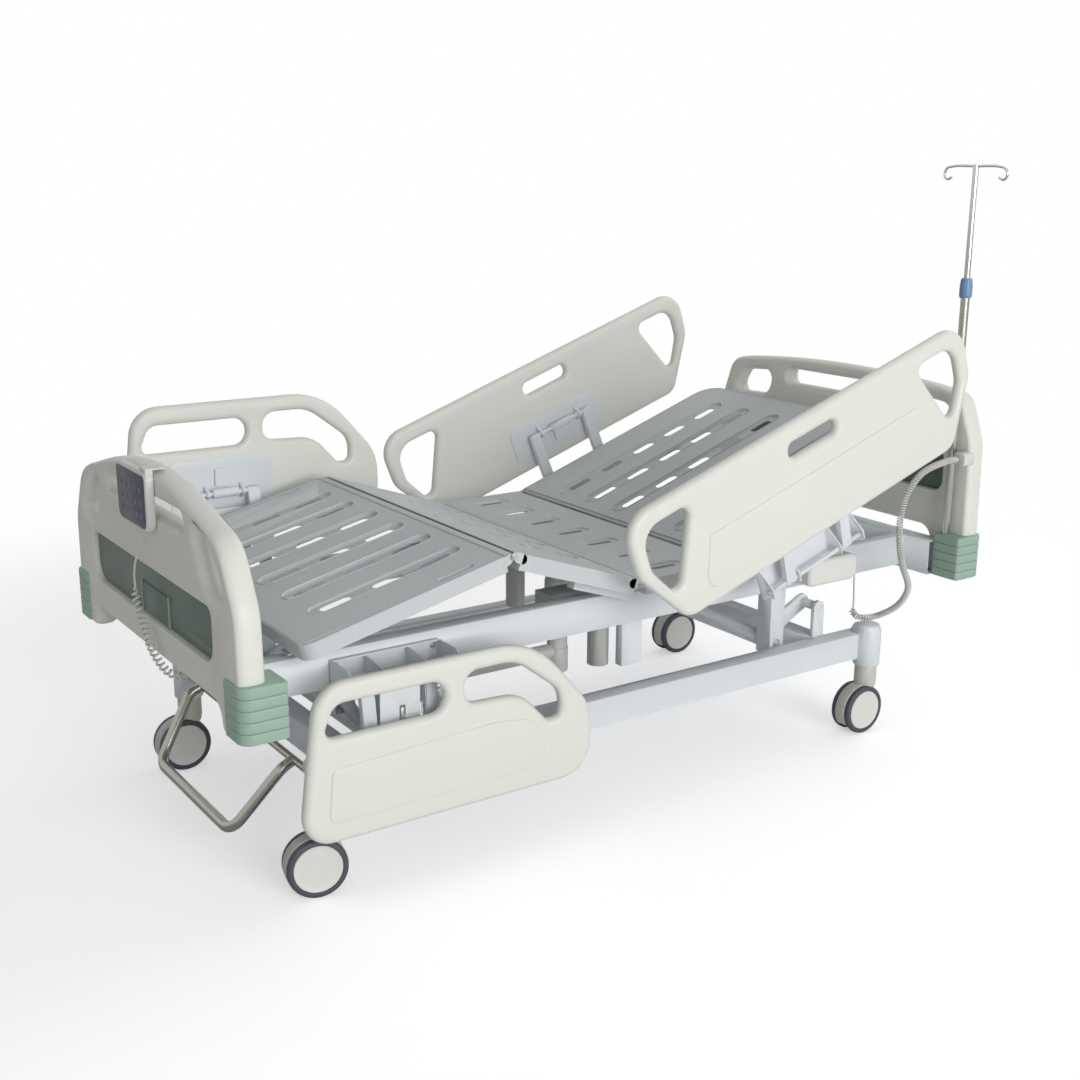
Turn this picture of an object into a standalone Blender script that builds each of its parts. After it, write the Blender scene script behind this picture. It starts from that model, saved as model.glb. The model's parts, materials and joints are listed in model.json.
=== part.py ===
"""A five-function electric hospital bed, in metres, +Z up, head end towards +X.

Every length along the bed is counted from the thigh hinge. The floor is z = 0.
"""
import math

import bmesh
import bpy
from mathutils import Matrix, Vector

# Gap between two pieces that rest on each other.
GAP = 0.0003

# Mattress platform.
HINGE_X = -0.052
HINGE_Z = 0.556
PLATFORM_HALF = 0.45
PLATFORM_TOP = 0.565
SHEET = 0.0025
SKIRT = 0.036
SEAT_LENGTH = 0.27
THIGH_LENGTH = 0.361
CALF_LENGTH = 0.4997
BACK_LENGTH = 0.74
THIGH_ANGLE = math.radians(18.9)
CALF_ANGLE = math.radians(13.4)
BACK_ANGLE = math.radians(19.4)
EAR_RADIUS = 0.012
PIN_RADIUS = 0.006

# Upper frame that carries the platform and the boards.
FRAME_TOP = 0.503
FRAME_BOTTOM = 0.422
FRAME_OUT = 0.335
FRAME_IN = 0.295
FOOT_BEAM = 0.87
HEAD_BEAM = 1.0
BEAM_DEEP = 0.0525
BEAM_END = 0.42

# Boards and their corner bumpers.
BOARD_THICK = 0.055
BOARD_ROUND = 0.013
BUMPER_LONG = 0.099
BUMPER_OUT = 0.505
BUMPER_LOW = 0.41
BUMPER_TOP = 0.525

# Wall of the rectangular steel tubes.
TUBE_WALL = 0.003

# Base frame, sockets and castors.
BASE_TOP = 0.271
BASE_LOW = 0.203
BASE_OUT = 0.385
BASE_IN = 0.335
CROSS_FOOT = -0.675
CROSS_WIDE = 0.05
LUG_THICK = 0.012
STEM_FOOT = -0.765
STEM_HEAD = 0.825
SOCKET_RADIUS = 0.035
SOCKET_LOW = 0.185
SOCKET_TOP = 0.3
TYRE_RADIUS = 0.065
WHEEL_WIDE = 0.0155
HOOD_HALF = 0.016
TRAIL = 0.025
CASTOR_TURN = math.radians(-12)

# Parallel lift arms between base and upper frame.
LIFT_ANGLE = math.radians(28.2)
LIFT_LENGTH = 0.1588
POST_HEAD = 0.55
POST_FOOT = -0.597
POST_PIN_Z = 0.275
HORN_ANGLE = math.radians(122)
HORN_LENGTH = 0.09

# Side rails: one linkage length for the foot pair and the head pair.
RAIL_THICK = 0.035
RAIL_MID = 0.545
RAIL_OFFSET = 0.037
FOOT_PIVOT_Y = 0.42
FOOT_PIVOT_Z = 0.465
HEAD_PIVOT_Y = 0.487
HEAD_PIVOT_V = -0.1
LINK = 0.211
RAIL_DOWN_MID = 0.4525

# Brake pedal.
PEDAL_X = -0.775
PEDAL_Z = 0.25
PEDAL_TUBE = 0.012


def x_of(along):
    return HINGE_X + along


def material(name, colour, roughness, metallic=0.0):
    made = bpy.data.materials.new(name)
    made.use_nodes = True
    shader = made.node_tree.nodes["Principled BSDF"]
    shader.inputs["Base Color"].default_value = (*colour, 1.0)
    shader.inputs["Roughness"].default_value = roughness
    shader.inputs["Metallic"].default_value = metallic
    made.diffuse_color = (*colour, 1.0)
    return made


for old in list(bpy.data.objects):
    bpy.data.objects.remove(old)

ABS = material("abs_off_white", (0.74, 0.75, 0.69), 0.45)
GREEN = material("green_plastic", (0.36, 0.52, 0.42), 0.5)
DARK_GREEN = material("green_panel", (0.12, 0.17, 0.13), 0.5)
STEEL = material("powder_coated_steel", (0.68, 0.72, 0.74), 0.4)
STAINLESS = material("stainless_steel", (0.5, 0.49, 0.45), 0.25, 1.0)
GREY = material("grey_plastic", (0.55, 0.56, 0.52), 0.5)
TYRE = material("tyre_rubber", (0.07, 0.07, 0.1), 0.7)
KEYS = material("handset_plastic", (0.6, 0.62, 0.6), 0.45)
CORD = material("cord_plastic", (0.66, 0.67, 0.62), 0.5)


def object_of(name, mesh):
    made = bpy.data.objects.new(name, mesh)
    bpy.context.scene.collection.objects.link(made)
    return made


def body(points, faces):
    mesh = bpy.data.meshes.new("body")
    mesh.from_pydata([tuple(p) for p in points], [], faces)
    shape = bmesh.new()
    shape.from_mesh(mesh)
    bmesh.ops.recalc_face_normals(shape, faces=shape.faces)
    shape.to_mesh(mesh)
    shape.free()
    return object_of("body", mesh)


def spread(axis, a, b, along):
    """A point of an outline (a, b) at a place along the given axis."""
    if axis == "X":
        return (along, a, b)
    if axis == "Y":
        return (a, along, b)
    return (a, b, along)


def prism(axis, outline, lo, hi):
    count = len(outline)
    points = [spread(axis, a, b, lo) for a, b in outline]
    points += [spread(axis, a, b, hi) for a, b in outline]
    faces = [tuple(range(count)), tuple(range(2 * count - 1, count - 1, -1))]
    for i in range(count):
        j = (i + 1) % count
        faces.append((i, j, j + count, i + count))
    return body(points, faces)


def box(x0, x1, y0, y1, z0, z1):
    y0, y1 = min(y0, y1), max(y0, y1)
    return prism("Z", [(x0, y0), (x1, y0), (x1, y1), (x0, y1)], z0, z1)


def ring(a, b, radius, sides):
    step = 2 * math.pi / sides
    return [(a + radius * math.cos(i * step), b + radius * math.sin(i * step)) for i in range(sides)]


def rod(axis, a, b, radius, lo, hi, sides=16):
    return prism(axis, ring(a, b, radius, sides), min(lo, hi), max(lo, hi))


def rounded(corners, step=math.radians(23)):
    """An outline through corners (a, b, radius), each corner turned into an arc."""
    outline = []
    count = len(corners)
    for i, (a, b, radius) in enumerate(corners):
        here = Vector((a, b))
        to_last = (Vector(corners[i - 1][:2]) - here)
        to_next = (Vector(corners[(i + 1) % count][:2]) - here)
        room = min(to_last.length, to_next.length) * 0.499
        to_last.normalize()
        to_next.normalize()
        inside = to_last.angle(to_next)
        turn = math.pi - inside
        if radius <= 0 or turn < 0.02:
            outline.append((a, b))
            continue
        reach = min(radius * math.tan(turn / 2), room)
        radius = reach / math.tan(turn / 2)
        middle = here + (to_last + to_next).normalized() * (radius / math.sin(inside / 2))
        start = here + to_last * reach - middle
        side = 1 if start.x * (here.y - middle.y) - start.y * (here.x - middle.x) > 0 else -1
        parts = max(1, math.ceil(turn / step))
        for k in range(parts + 1):
            angle = side * turn * k / parts
            outline.append((
                middle.x + start.x * math.cos(angle) - start.y * math.sin(angle),
                middle.y + start.x * math.sin(angle) + start.y * math.cos(angle),
            ))
    return outline


def bar(axis, a0, b0, a1, b1, radius, lo, hi, sides=4):
    """A flat bar with round ends, from one point of the plane to another."""
    angle = math.atan2(b1 - b0, a1 - a0)
    outline = []
    for k in range(sides + 1):
        turn = angle - math.pi / 2 + math.pi * k / sides
        outline.append((a1 + radius * math.cos(turn), b1 + radius * math.sin(turn)))
    for k in range(sides + 1):
        turn = angle + math.pi / 2 + math.pi * k / sides
        outline.append((a0 + radius * math.cos(turn), b0 + radius * math.sin(turn)))
    return prism(axis, outline, min(lo, hi), max(lo, hi))


def slab(axis, outline, holes, lo, hi, edge):
    """A plate with holes whose rims are rounded, made from a filled curve."""
    lo, hi = min(lo, hi), max(lo, hi)
    curve = bpy.data.curves.new("slab", "CURVE")
    curve.dimensions = "2D"
    curve.fill_mode = "BOTH"
    curve.extrude = (hi - lo) / 2 - edge
    curve.bevel_depth = edge
    curve.bevel_resolution = 0
    curve.offset = -edge
    for line in [outline] + holes:
        spline = curve.splines.new("POLY")
        spline.points.add(len(line) - 1)
        for point, (a, b) in zip(spline.points, line):
            point.co = (a, b, 0.0, 1.0)
        spline.use_cyclic_u = True
    guide = object_of("guide", curve)
    graph = bpy.context.evaluated_depsgraph_get()
    mesh = bpy.data.meshes.new_from_object(guide.evaluated_get(graph), depsgraph=graph)
    bpy.data.objects.remove(guide)
    shape = bmesh.new()
    shape.from_mesh(mesh)
    middle = (lo + hi) / 2
    for vertex in shape.verts:
        a, b, c = vertex.co
        vertex.co = spread(axis, a, b, middle + c)
    bmesh.ops.remove_doubles(shape, verts=shape.verts, dist=0.00001)
    bmesh.ops.dissolve_degenerate(shape, edges=shape.edges, dist=0.00001)
    bmesh.ops.recalc_face_normals(shape, faces=shape.faces)
    shape.to_mesh(mesh)
    shape.free()
    return object_of("slab", mesh)


def bent(points, radius, parts=5):
    """The path through the points with each inner corner turned into a bend."""
    path = [Vector(points[0])]
    for last, here, after in zip(points, points[1:], points[2:]):
        here = Vector(here)
        to_last = Vector(last) - here
        to_next = Vector(after) - here
        reach = min(radius, to_last.length * 0.49, to_next.length * 0.49)
        start = here + to_last.normalized() * reach
        end = here + to_next.normalized() * reach
        for k in range(parts + 1):
            t = k / parts
            path.append(start * (1 - t) ** 2 + here * 2 * t * (1 - t) + end * t ** 2)
    path.append(Vector(points[-1]))
    return path


def tube(path, radius, sides=12):
    path = [Vector(p) for p in path]
    ways = [(b - a).normalized() for a, b in zip(path, path[1:])]
    first = Vector((0, 0, 1)) if abs(ways[0].z) < 0.9 else Vector((1, 0, 0))
    normal = (first - ways[0] * first.dot(ways[0])).normalized()
    points = []
    for i, here in enumerate(path):
        way = ways[min(i, len(ways) - 1)]
        if 0 < i < len(ways):
            way = (ways[i - 1] + ways[i]).normalized()
        normal = (normal - way * normal.dot(way)).normalized()
        other = way.cross(normal)
        for k in range(sides):
            angle = 2 * math.pi * k / sides
            points.append(here + (normal * math.cos(angle) + other * math.sin(angle)) * radius)
    faces = [tuple(range(sides)), tuple(range(len(points) - 1, len(points) - 1 - sides, -1))]
    for i in range(len(path) - 1):
        for k in range(sides):
            n = (k + 1) % sides
            faces.append((i * sides + k, i * sides + n, (i + 1) * sides + n, (i + 1) * sides + k))
    return body(points, faces)


def combined(joined, cut):
    """The mesh of the joined bodies with the others cut away."""
    base = joined[0]
    for other, kind in [(o, "UNION") for o in joined[1:]] + [(o, "DIFFERENCE") for o in cut]:
        step = base.modifiers.new(kind, "BOOLEAN")
        step.solver = "EXACT"
        step.operation = kind
        step.object = other
    graph = bpy.context.evaluated_depsgraph_get()
    mesh = bpy.data.meshes.new_from_object(base.evaluated_get(graph), depsgraph=graph)
    for other in list(joined) + list(cut):
        bpy.data.objects.remove(other)
    return mesh


def finish(name, finish_material, joined, cut=(), origin=(0, 0, 0), matrix=None, smooth=30):
    """Joins the bodies, cuts the others away and leaves one named object."""
    mesh = combined(joined, cut)
    place = (matrix or Matrix.Identity(4)) @ Matrix.Translation(Vector(origin))
    mesh.transform(Matrix.Translation(-Vector(origin)))
    made = object_of(name, mesh)
    made.matrix_world = place
    mesh.materials.clear()
    mesh.materials.append(finish_material)
    for face in mesh.polygons:
        face.material_index = 0
    mesh.shade_smooth()
    mesh.set_sharp_from_angle(angle=math.radians(smooth))
    return made


def hollow(x0, x1, y0, y1, z0, z1):
    """The inside of a rectangular tube whose top and bottom are at z1 and z0."""
    return box(x0, x1, y0, y1, z0 + TUBE_WALL, z1 - TUBE_WALL)


def side_name(side):
    return "near" if side < 0 else "far"


# Base frame

def make_base():
    for side in (-1, 1):
        rail = [box(x_of(STEM_FOOT), x_of(STEM_HEAD), side * BASE_IN, side * BASE_OUT, BASE_LOW, BASE_TOP)]
        cut = []
        for stem in (STEM_FOOT, STEM_HEAD):
            y = side * BASE_OUT
            outline = [(0, SOCKET_LOW), (SOCKET_RADIUS, SOCKET_LOW), (SOCKET_RADIUS, SOCKET_TOP - 0.02)]
            outline += [
                (SOCKET_RADIUS - 0.02 + 0.02 * math.sin(math.radians(a)),
                 SOCKET_TOP - 0.02 + 0.02 * math.cos(math.radians(a)))
                for a in (45, 0)
            ] + [(0, SOCKET_TOP)]
            rail.append(turned(x_of(stem), y, outline))
            rail.append(rod("Y", x_of(stem) - 0.012, SOCKET_TOP - 0.027, 0.022, y - side * 0.03, y + side * 0.012, 12))
            cut.append(rod("Z", x_of(stem), y, 0.0105, SOCKET_LOW - 0.01, SOCKET_LOW + 0.05, 12))
        cut.append(hollow(x_of(STEM_FOOT) + SOCKET_RADIUS, x_of(STEM_HEAD) - SOCKET_RADIUS,
                          *sorted((side * (BASE_IN + TUBE_WALL), side * (BASE_OUT - TUBE_WALL))), BASE_LOW, BASE_TOP))
        # Drain holes keep the closed tube open to the air.
        for hole in (STEM_FOOT + 0.09, STEM_HEAD - 0.09):
            cut.append(rod("Z", x_of(hole), side * (BASE_IN + BASE_OUT) / 2, 0.006, BASE_LOW - 0.01, BASE_LOW + 0.01, 8))
        pivot_x, pivot_z = base_pivot(POST_FOOT)
        lug_in = side * (BASE_IN - LUG_THICK)
        lug_out = side * (BASE_IN - 0.0005)
        rail.append(box(pivot_x - 0.02, pivot_x + 0.02, side * (BASE_IN - 0.005), side * (BASE_IN + 0.015),
                        BASE_LOW + 0.01, BASE_TOP - 0.01))
        rail.append(bar("Y", pivot_x, BASE_LOW + 0.03, pivot_x, pivot_z, 0.018, lug_in, lug_out))
        cut.append(rod("Y", pivot_x, pivot_z, 0.0095, side * 0.3, side * 0.36, 12))
        finish("base_rail_" + side_name(side), STEEL, rail, cut, (x_of(0), side * BASE_OUT, BASE_LOW))
    # The head beam stands under the pivots of its lift arms.
    pivot_x, pivot_z = base_pivot(POST_HEAD)
    for name, middle in (("foot", x_of(CROSS_FOOT)), ("head", pivot_x)):
        x0 = middle - CROSS_WIDE / 2
        x1 = middle + CROSS_WIDE / 2
        beam = [box(x0, x1, -BASE_IN + GAP, BASE_IN - GAP, BASE_LOW, BASE_TOP)]
        cut = [hollow(x0 + TUBE_WALL, x1 - TUBE_WALL, -BASE_IN - 0.01, BASE_IN + 0.01, BASE_LOW, BASE_TOP)]
        if name == "head":
            for side in (-1, 1):
                beam.append(bar("Y", pivot_x, BASE_TOP - 0.03, pivot_x, pivot_z, 0.018,
                                side * (BASE_IN - LUG_THICK), side * (BASE_IN - 0.0005)))
                cut.append(rod("Y", pivot_x, pivot_z, 0.0095, side * 0.3, side * 0.36, 12))
        finish("base_beam_" + name, STEEL, beam, cut, (x0, 0, BASE_LOW))


def turned(x, y, outline, sides=16):
    """A body of revolution about a vertical line, from (radius, z) points."""
    points = []
    faces = []
    inner = [p for p in outline if p[0] > 0]
    for radius, z in inner:
        for a, b in ring(x, y, radius, sides):
            points.append((a, b, z))
    for i in range(len(inner) - 1):
        for k in range(sides):
            n = (k + 1) % sides
            faces.append((i * sides + k, i * sides + n, (i + 1) * sides + n, (i + 1) * sides + k))
    faces.append(tuple(range(sides)))
    faces.append(tuple(range((len(inner) - 1) * sides, len(inner) * sides)))
    return body(points, faces)


def make_castors():
    for end, stem in (("foot", STEM_FOOT), ("head", STEM_HEAD)):
        for side in (-1, 1):
            x = x_of(stem)
            y = side * BASE_OUT
            axle = x - TRAIL
            hood_radius = TYRE_RADIUS + 0.001
            outline = []
            for k in range(19):
                angle = math.radians(-38) + math.radians(256) * k / 18
                outline.append((axle + hood_radius * math.cos(angle), TYRE_RADIUS + hood_radius * math.sin(angle)))
            hood = [prism("Y", outline, y - HOOD_HALF, y + HOOD_HALF)]
            hood.append(rod("Z", x, y, 0.0155, 0.1, 0.14, 12))
            hood.append(rod("Z", x, y, 0.029, 0.132, SOCKET_LOW - GAP, 20))
            hood.append(rod("Z", x, y, 0.01, SOCKET_LOW - 0.01, SOCKET_LOW + 0.045, 12))
            cut = [rod("Y", axle, TYRE_RADIUS, 0.0095, y - 0.05, y + 0.05, 12)]
            turn = CASTOR_TURN if end == "foot" and side < 0 else 0.0
            spin = Matrix.Translation((x, y, 0)) @ Matrix.Rotation(turn, 4, "Z") @ Matrix.Translation((-x, -y, 0))
            name = end + "_" + side_name(side)
            finish("castor_hood_" + name, GREY, hood, cut, (x, y, SOCKET_LOW), spin)
            wheel = [rod("Y", axle, TYRE_RADIUS, 0.009, y - 0.02, y + 0.02, 12)]
            for way in (-1, 1):
                inner = HOOD_HALF + 0.0005
                wheel.append(rod("Y", axle, TYRE_RADIUS, TYRE_RADIUS, y + way * inner,
                                 y + way * (inner + WHEEL_WIDE), 28))
            finish("castor_wheel_" + name, TYRE, wheel, [], (axle, y, TYRE_RADIUS), spin)


def make_pedal():
    top = 0.26
    low_x = x_of(-0.905)
    low_half = 0.215
    path = [(x_of(PEDAL_X), -top, PEDAL_Z)]
    path += [(x_of(-0.805), -top - 0.004, PEDAL_Z - 0.012), (low_x, -low_half, 0.1)]
    path += [(p[0], -p[1], p[2]) for p in reversed(path)]
    pedal = [tube(bent(path, 0.035, 4), PEDAL_TUBE, 10)]
    pedal.append(rod("Y", x_of(PEDAL_X), PEDAL_Z, 0.0085, -0.3495, 0.3495, 6))
    finish("brake_pedal", STAINLESS, pedal, [], (x_of(PEDAL_X), 0, PEDAL_Z))


# Lift linkage

def base_pivot(post):
    """The pivot on the base that belongs to a post of the upper frame."""
    reach = LIFT_LENGTH
    return x_of(post) + reach * math.cos(LIFT_ANGLE), POST_PIN_Z + reach * math.sin(LIFT_ANGLE)


def make_lift_arms():
    for end, post, horn_y in (("foot", POST_FOOT, -0.231), ("head", POST_HEAD, 0.231)):
        x = x_of(post)
        z = POST_PIN_Z
        pivot_x, pivot_z = base_pivot(post)
        arm = [rod("Y", x, z, 0.022, -0.2725, 0.2725, 20)]
        arm.append(rod("Y", x, z, 0.008, -0.33, 0.33, 12))
        for side in (-1, 1):
            arm.append(bar("Y", x, z, pivot_x, pivot_z, 0.021, side * 0.262, side * 0.272))
            arm.append(rod("Y", pivot_x, pivot_z, 0.012, side * 0.265, side * 0.3225, 12))
            arm.append(rod("Y", pivot_x, pivot_z, 0.009, side * 0.32, side * 0.3345, 12))
        horn_x = x + HORN_LENGTH * math.cos(HORN_ANGLE)
        horn_z = z + HORN_LENGTH * math.sin(HORN_ANGLE)
        for near_y in (horn_y - 0.0165, horn_y + 0.0125):
            arm.append(bar("Y", x, z, horn_x, horn_z, 0.014, near_y, near_y + 0.004))
        arm.append(rod("Y", horn_x, horn_z, 0.008, horn_y - 0.015, horn_y + 0.015, 12))
        finish("lift_arm_" + end, STEEL, arm, [], (pivot_x, 0, pivot_z))


# Upper frame

def make_frame():
    for side in (-1, 1):
        rail = [box(x_of(-FOOT_BEAM) + GAP, x_of(HEAD_BEAM) - GAP, side * FRAME_IN, side * FRAME_OUT, FRAME_BOTTOM, FRAME_TOP)]
        cut = [hollow(x_of(-FOOT_BEAM) - 0.01, x_of(HEAD_BEAM) + 0.01,
                      *sorted((side * (FRAME_IN + TUBE_WALL), side * (FRAME_OUT - TUBE_WALL))), FRAME_BOTTOM, FRAME_TOP)]
        for post in (POST_FOOT, POST_HEAD):
            rail.append(box(x_of(post) - 0.024, x_of(post) + 0.024, side * 0.275, side * 0.325, 0.246, FRAME_BOTTOM + 0.02))
            cut.append(rod("Y", x_of(post), POST_PIN_Z, 0.0085, side * 0.26, side * 0.34, 12))
        if side < 0:
            rail.append(box(x_of(0.045), x_of(0.105), -0.325, -0.3, 0.312, FRAME_BOTTOM + 0.02))
        finish("frame_rail_" + side_name(side), STEEL, rail, cut, (x_of(0), side * FRAME_OUT, FRAME_BOTTOM))
    for name, inner, way in (("foot", x_of(-FOOT_BEAM), -1), ("head", x_of(HEAD_BEAM), 1)):
        x0, x1 = sorted((inner, inner + way * BEAM_DEEP))
        beam = [box(x0, x1, -BEAM_END + GAP, BEAM_END - GAP, BUMPER_LOW, FRAME_TOP)]
        if name == "foot":
            beam.append(rod("X", -0.13, 0.432, 0.0125, x0 - 0.012, x0 + 0.01, 12))
        inside = [hollow(x0 + TUBE_WALL, x1 - TUBE_WALL, -BEAM_END - 0.01, BEAM_END + 0.01, BUMPER_LOW, FRAME_TOP)]
        finish("frame_beam_" + name, STEEL, beam, inside, (inner, 0, FRAME_BOTTOM))


def board_face(way):
    """The face of a board that rests on its cross beam."""
    inner = x_of(-FOOT_BEAM) if way < 0 else x_of(HEAD_BEAM)
    return inner + way * (BEAM_DEEP + GAP)


def crown(height, drop, half, parts=6):
    """The gently arched top edge of a board, from -half to half."""
    return [(-half + 2 * half * k / parts, height - drop * ((2 * k / parts - 1) ** 2)) for k in range(parts + 1)]


def mirror(corners):
    return corners + [(-a, b, radius) for a, b, radius in reversed(corners)]


def make_board(name, way, corners, slots, window, lobe_low, arch):
    face = board_face(way)
    lo, hi = sorted((face, face + way * BOARD_THICK))
    foot = [(0.495, lobe_low, 0.03), (arch[0] - 0.01, lobe_low, 0.022), (arch[0] - 0.02, arch[1], 0.04)]
    outline = rounded(mirror(corners + foot))
    holes = [rounded(hole) for hole in slots] + [rounded(window)]
    board = slab("X", outline, holes, lo, hi, BOARD_ROUND)
    trim = []
    for side in (-1, 1):
        trim.append(box(lo - 0.01, hi + 0.01, side * 0.4197, side * 0.52, 0.3, BUMPER_TOP + GAP))
    finish(name, ABS, [board], trim, (face, 0, BUMPER_TOP), smooth=40)
    edge = GAP
    inset = [(a - math.copysign(edge, a), b - math.copysign(edge, b - window[0][1] + 0.04), r) for a, b, r in window]
    panel = slab("X", rounded(inset), [], lo + 0.012, hi - 0.012, 0.001)
    finish(name + "_panel", DARK_GREEN, [panel], [], (face, 0, window[0][1]))


def make_bumpers():
    for name, way in (("foot", -1), ("head", 1)):
        outer = board_face(way) + way * (BOARD_THICK + 0.006)
        inner = outer - way * BUMPER_LONG
        for side in (-1, 1):
            corners = [
                (inner, side * BEAM_END, 0.0), (outer, side * BEAM_END, 0.004),
                (outer, side * BUMPER_OUT, 0.028), (inner, side * BUMPER_OUT, 0.006),
            ]
            bumper = prism("Z", rounded(corners), BUMPER_LOW, BUMPER_TOP)
            finish("bumper_" + name + "_" + side_name(side), GREEN, [bumper], [], (inner, side * BEAM_END, BUMPER_LOW))


def make_boards():
    top = crown(0.865, 0.035, 0.26)
    corners = [(a, b, 0.0) for a, b in top if a > 0] + [(0.42, 0.788, 0.1), (0.487, 0.66, 0.12)]
    slot = mirror([(0.235, 0.804, 0.016), (0.235, 0.77, 0.016)])
    ovals = []
    for side in (-1, 1):
        ovals.append([
            (side * 0.275, 0.8, 0.035), (side * 0.36, 0.772, 0.05),
            (side * 0.434, 0.672, 0.018), (side * 0.345, 0.672, 0.05),
        ])
    window = mirror([(0.362, 0.645, 0.02), (0.362, 0.53, 0.045)])
    make_board("footboard", -1, corners, [slot] + ovals, window, 0.4, (0.4, 0.455))
    top = crown(0.925, 0.02, 0.38)
    corners = [(a, b, 0.0) for a, b in top if a > 0] + [(0.445, 0.895, 0.06), (0.49, 0.77, 0.12)]
    slot = mirror([(0.2, 0.887, 0.02), (0.2, 0.845, 0.02)])
    ovals = []
    for side in (-1, 1):
        ovals.append([
            (side * 0.268, 0.874, 0.03), (side * 0.39, 0.864, 0.04),
            (side * 0.43, 0.795, 0.02), (side * 0.29, 0.8, 0.045),
        ])
    window = mirror([(0.4, 0.755, 0.045), (0.4, 0.63, 0.03)])
    make_board("headboard", 1, corners, [slot] + ovals, window, 0.45, (0.385, 0.525))


# Mattress platform

def frame_at(x, z, angle, way):
    """Local frame of a section: first axis along it, third axis out of its top."""
    along = Vector((way * math.cos(angle), 0, math.sin(angle)))
    up = Vector((-way * math.sin(angle), 0, math.cos(angle)))
    across = Vector((0, 1, 0)) if way > 0 else Vector((0, -1, 0))
    place = Matrix((along, across, up)).transposed().to_4x4()
    place.translation = Vector((x, 0, z))
    return place


def knee():
    return (
        x_of(0) - THIGH_LENGTH * math.cos(THIGH_ANGLE),
        HINGE_Z + THIGH_LENGTH * math.sin(THIGH_ANGLE),
    )


def pan(sheet_from, sheet_to, skirt_from, skirt_to, top, slots, half=PLATFORM_HALF, round_end=0.0):
    """A pressed tray: top sheet with a skirt turned down on its four sides."""
    lo = min(sheet_from, skirt_from)
    corner = max(round_end, 0.001)
    tongue = half - 0.0085
    outline = rounded([
        (skirt_from, -half, 0.001), (skirt_to, -half, corner), (skirt_to, half, corner), (skirt_from, half, 0.001),
    ])
    shell = [prism("Z", outline, top - SKIRT, top)]
    if sheet_from < skirt_from:
        shell.append(box(lo, skirt_from + 0.01, -tongue, tongue, top - SHEET, top))
    if sheet_to > skirt_to:
        shell.append(box(skirt_to - 0.01, sheet_to, -tongue, tongue, top - SHEET, top))
    inner = rounded([
        (skirt_from + SHEET, -half + SHEET, 0.001), (skirt_to - SHEET, -half + SHEET, corner),
        (skirt_to - SHEET, half - SHEET, corner), (skirt_from + SHEET, half - SHEET, 0.001),
    ])
    cut = [prism("Z", inner, top - SKIRT - 0.01, top - SHEET)]
    for u0, u1, y, wide in slots:
        ends = min(wide / 2, 0.006)
        line = rounded([(u0, y - wide / 2, ends), (u1, y - wide / 2, ends), (u1, y + wide / 2, ends), (u0, y + wide / 2, ends)],
                       math.radians(100))
        cut.append(prism("Z", line, top - SHEET - 0.004, top + 0.01))
    return [object_of("tray", combined(shell, cut))], []


def outer_ears(u, inward, drop):
    """Ears in the plane of the skirt round a hinge at (u, 0), with their bolt holes."""
    ears = []
    holes = []
    for side in (-1, 1):
        out = side * PLATFORM_HALF
        ears.append(bar("Y", u, 0, u + inward * 0.035, drop, EAR_RADIUS, out - side * SHEET, out))
        holes.append(rod("Y", u, 0, PIN_RADIUS + 0.0008, side * 0.43, side * 0.47, 12))
    return ears, holes


def inner_ears(u, inward, drop):
    """Ears behind the neighbour's skirt, with the bolts that carry it."""
    ears = []
    for side in (-1, 1):
        face = side * (PLATFORM_HALF - SHEET - 0.0005)
        ears.append(bar("Y", u, 0, u + inward * 0.035, drop, EAR_RADIUS - 0.001, face - side * 0.004, face))
        ears.append(box(min(u + inward * 0.024, u + inward * 0.045), max(u + inward * 0.024, u + inward * 0.045),
                        face - side * 0.004, face + side * 0.0015, drop - 0.01, drop + 0.008))
        ears.append(rod("Y", u, 0, PIN_RADIUS, face - side * 0.003, side * (PLATFORM_HALF + 0.002), 12))
    return ears


def horn(outline, pin_u, pin_v, y):
    """Two plates with a pin between them, for the end of a motor's rod."""
    parts = [prism("Y", outline, y - 0.0165, y - 0.0125), prism("Y", outline, y + 0.0125, y + 0.0165)]
    parts.append(rod("Y", pin_u, pin_v, 0.008, y - 0.015, y + 0.015, 12))
    return parts


def make_seat():
    top = PLATFORM_TOP - HINGE_Z
    slots = [(0.09, 0.16, 0.125 * row, 0.012) for row in range(-3, 4)]
    shell, cut = pan(0.004, SEAT_LENGTH - 0.01, 0.0145, SEAT_LENGTH - 0.0145, top, slots)
    shell += inner_ears(0.0, 1, -0.004)
    shell += inner_ears(SEAT_LENGTH, -1, -0.004)
    for x0, x1 in ((0.045, 0.07), (0.205, 0.235)):
        low = FRAME_TOP + GAP - HINGE_Z
        shell.append(box(x0, x1, -FRAME_OUT, FRAME_OUT, low, top - SHEET + 0.0005))
    finish("platform_seat", STEEL, shell, cut, (0, 0, 0), frame_at(x_of(0), HINGE_Z, 0, 1))


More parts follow.
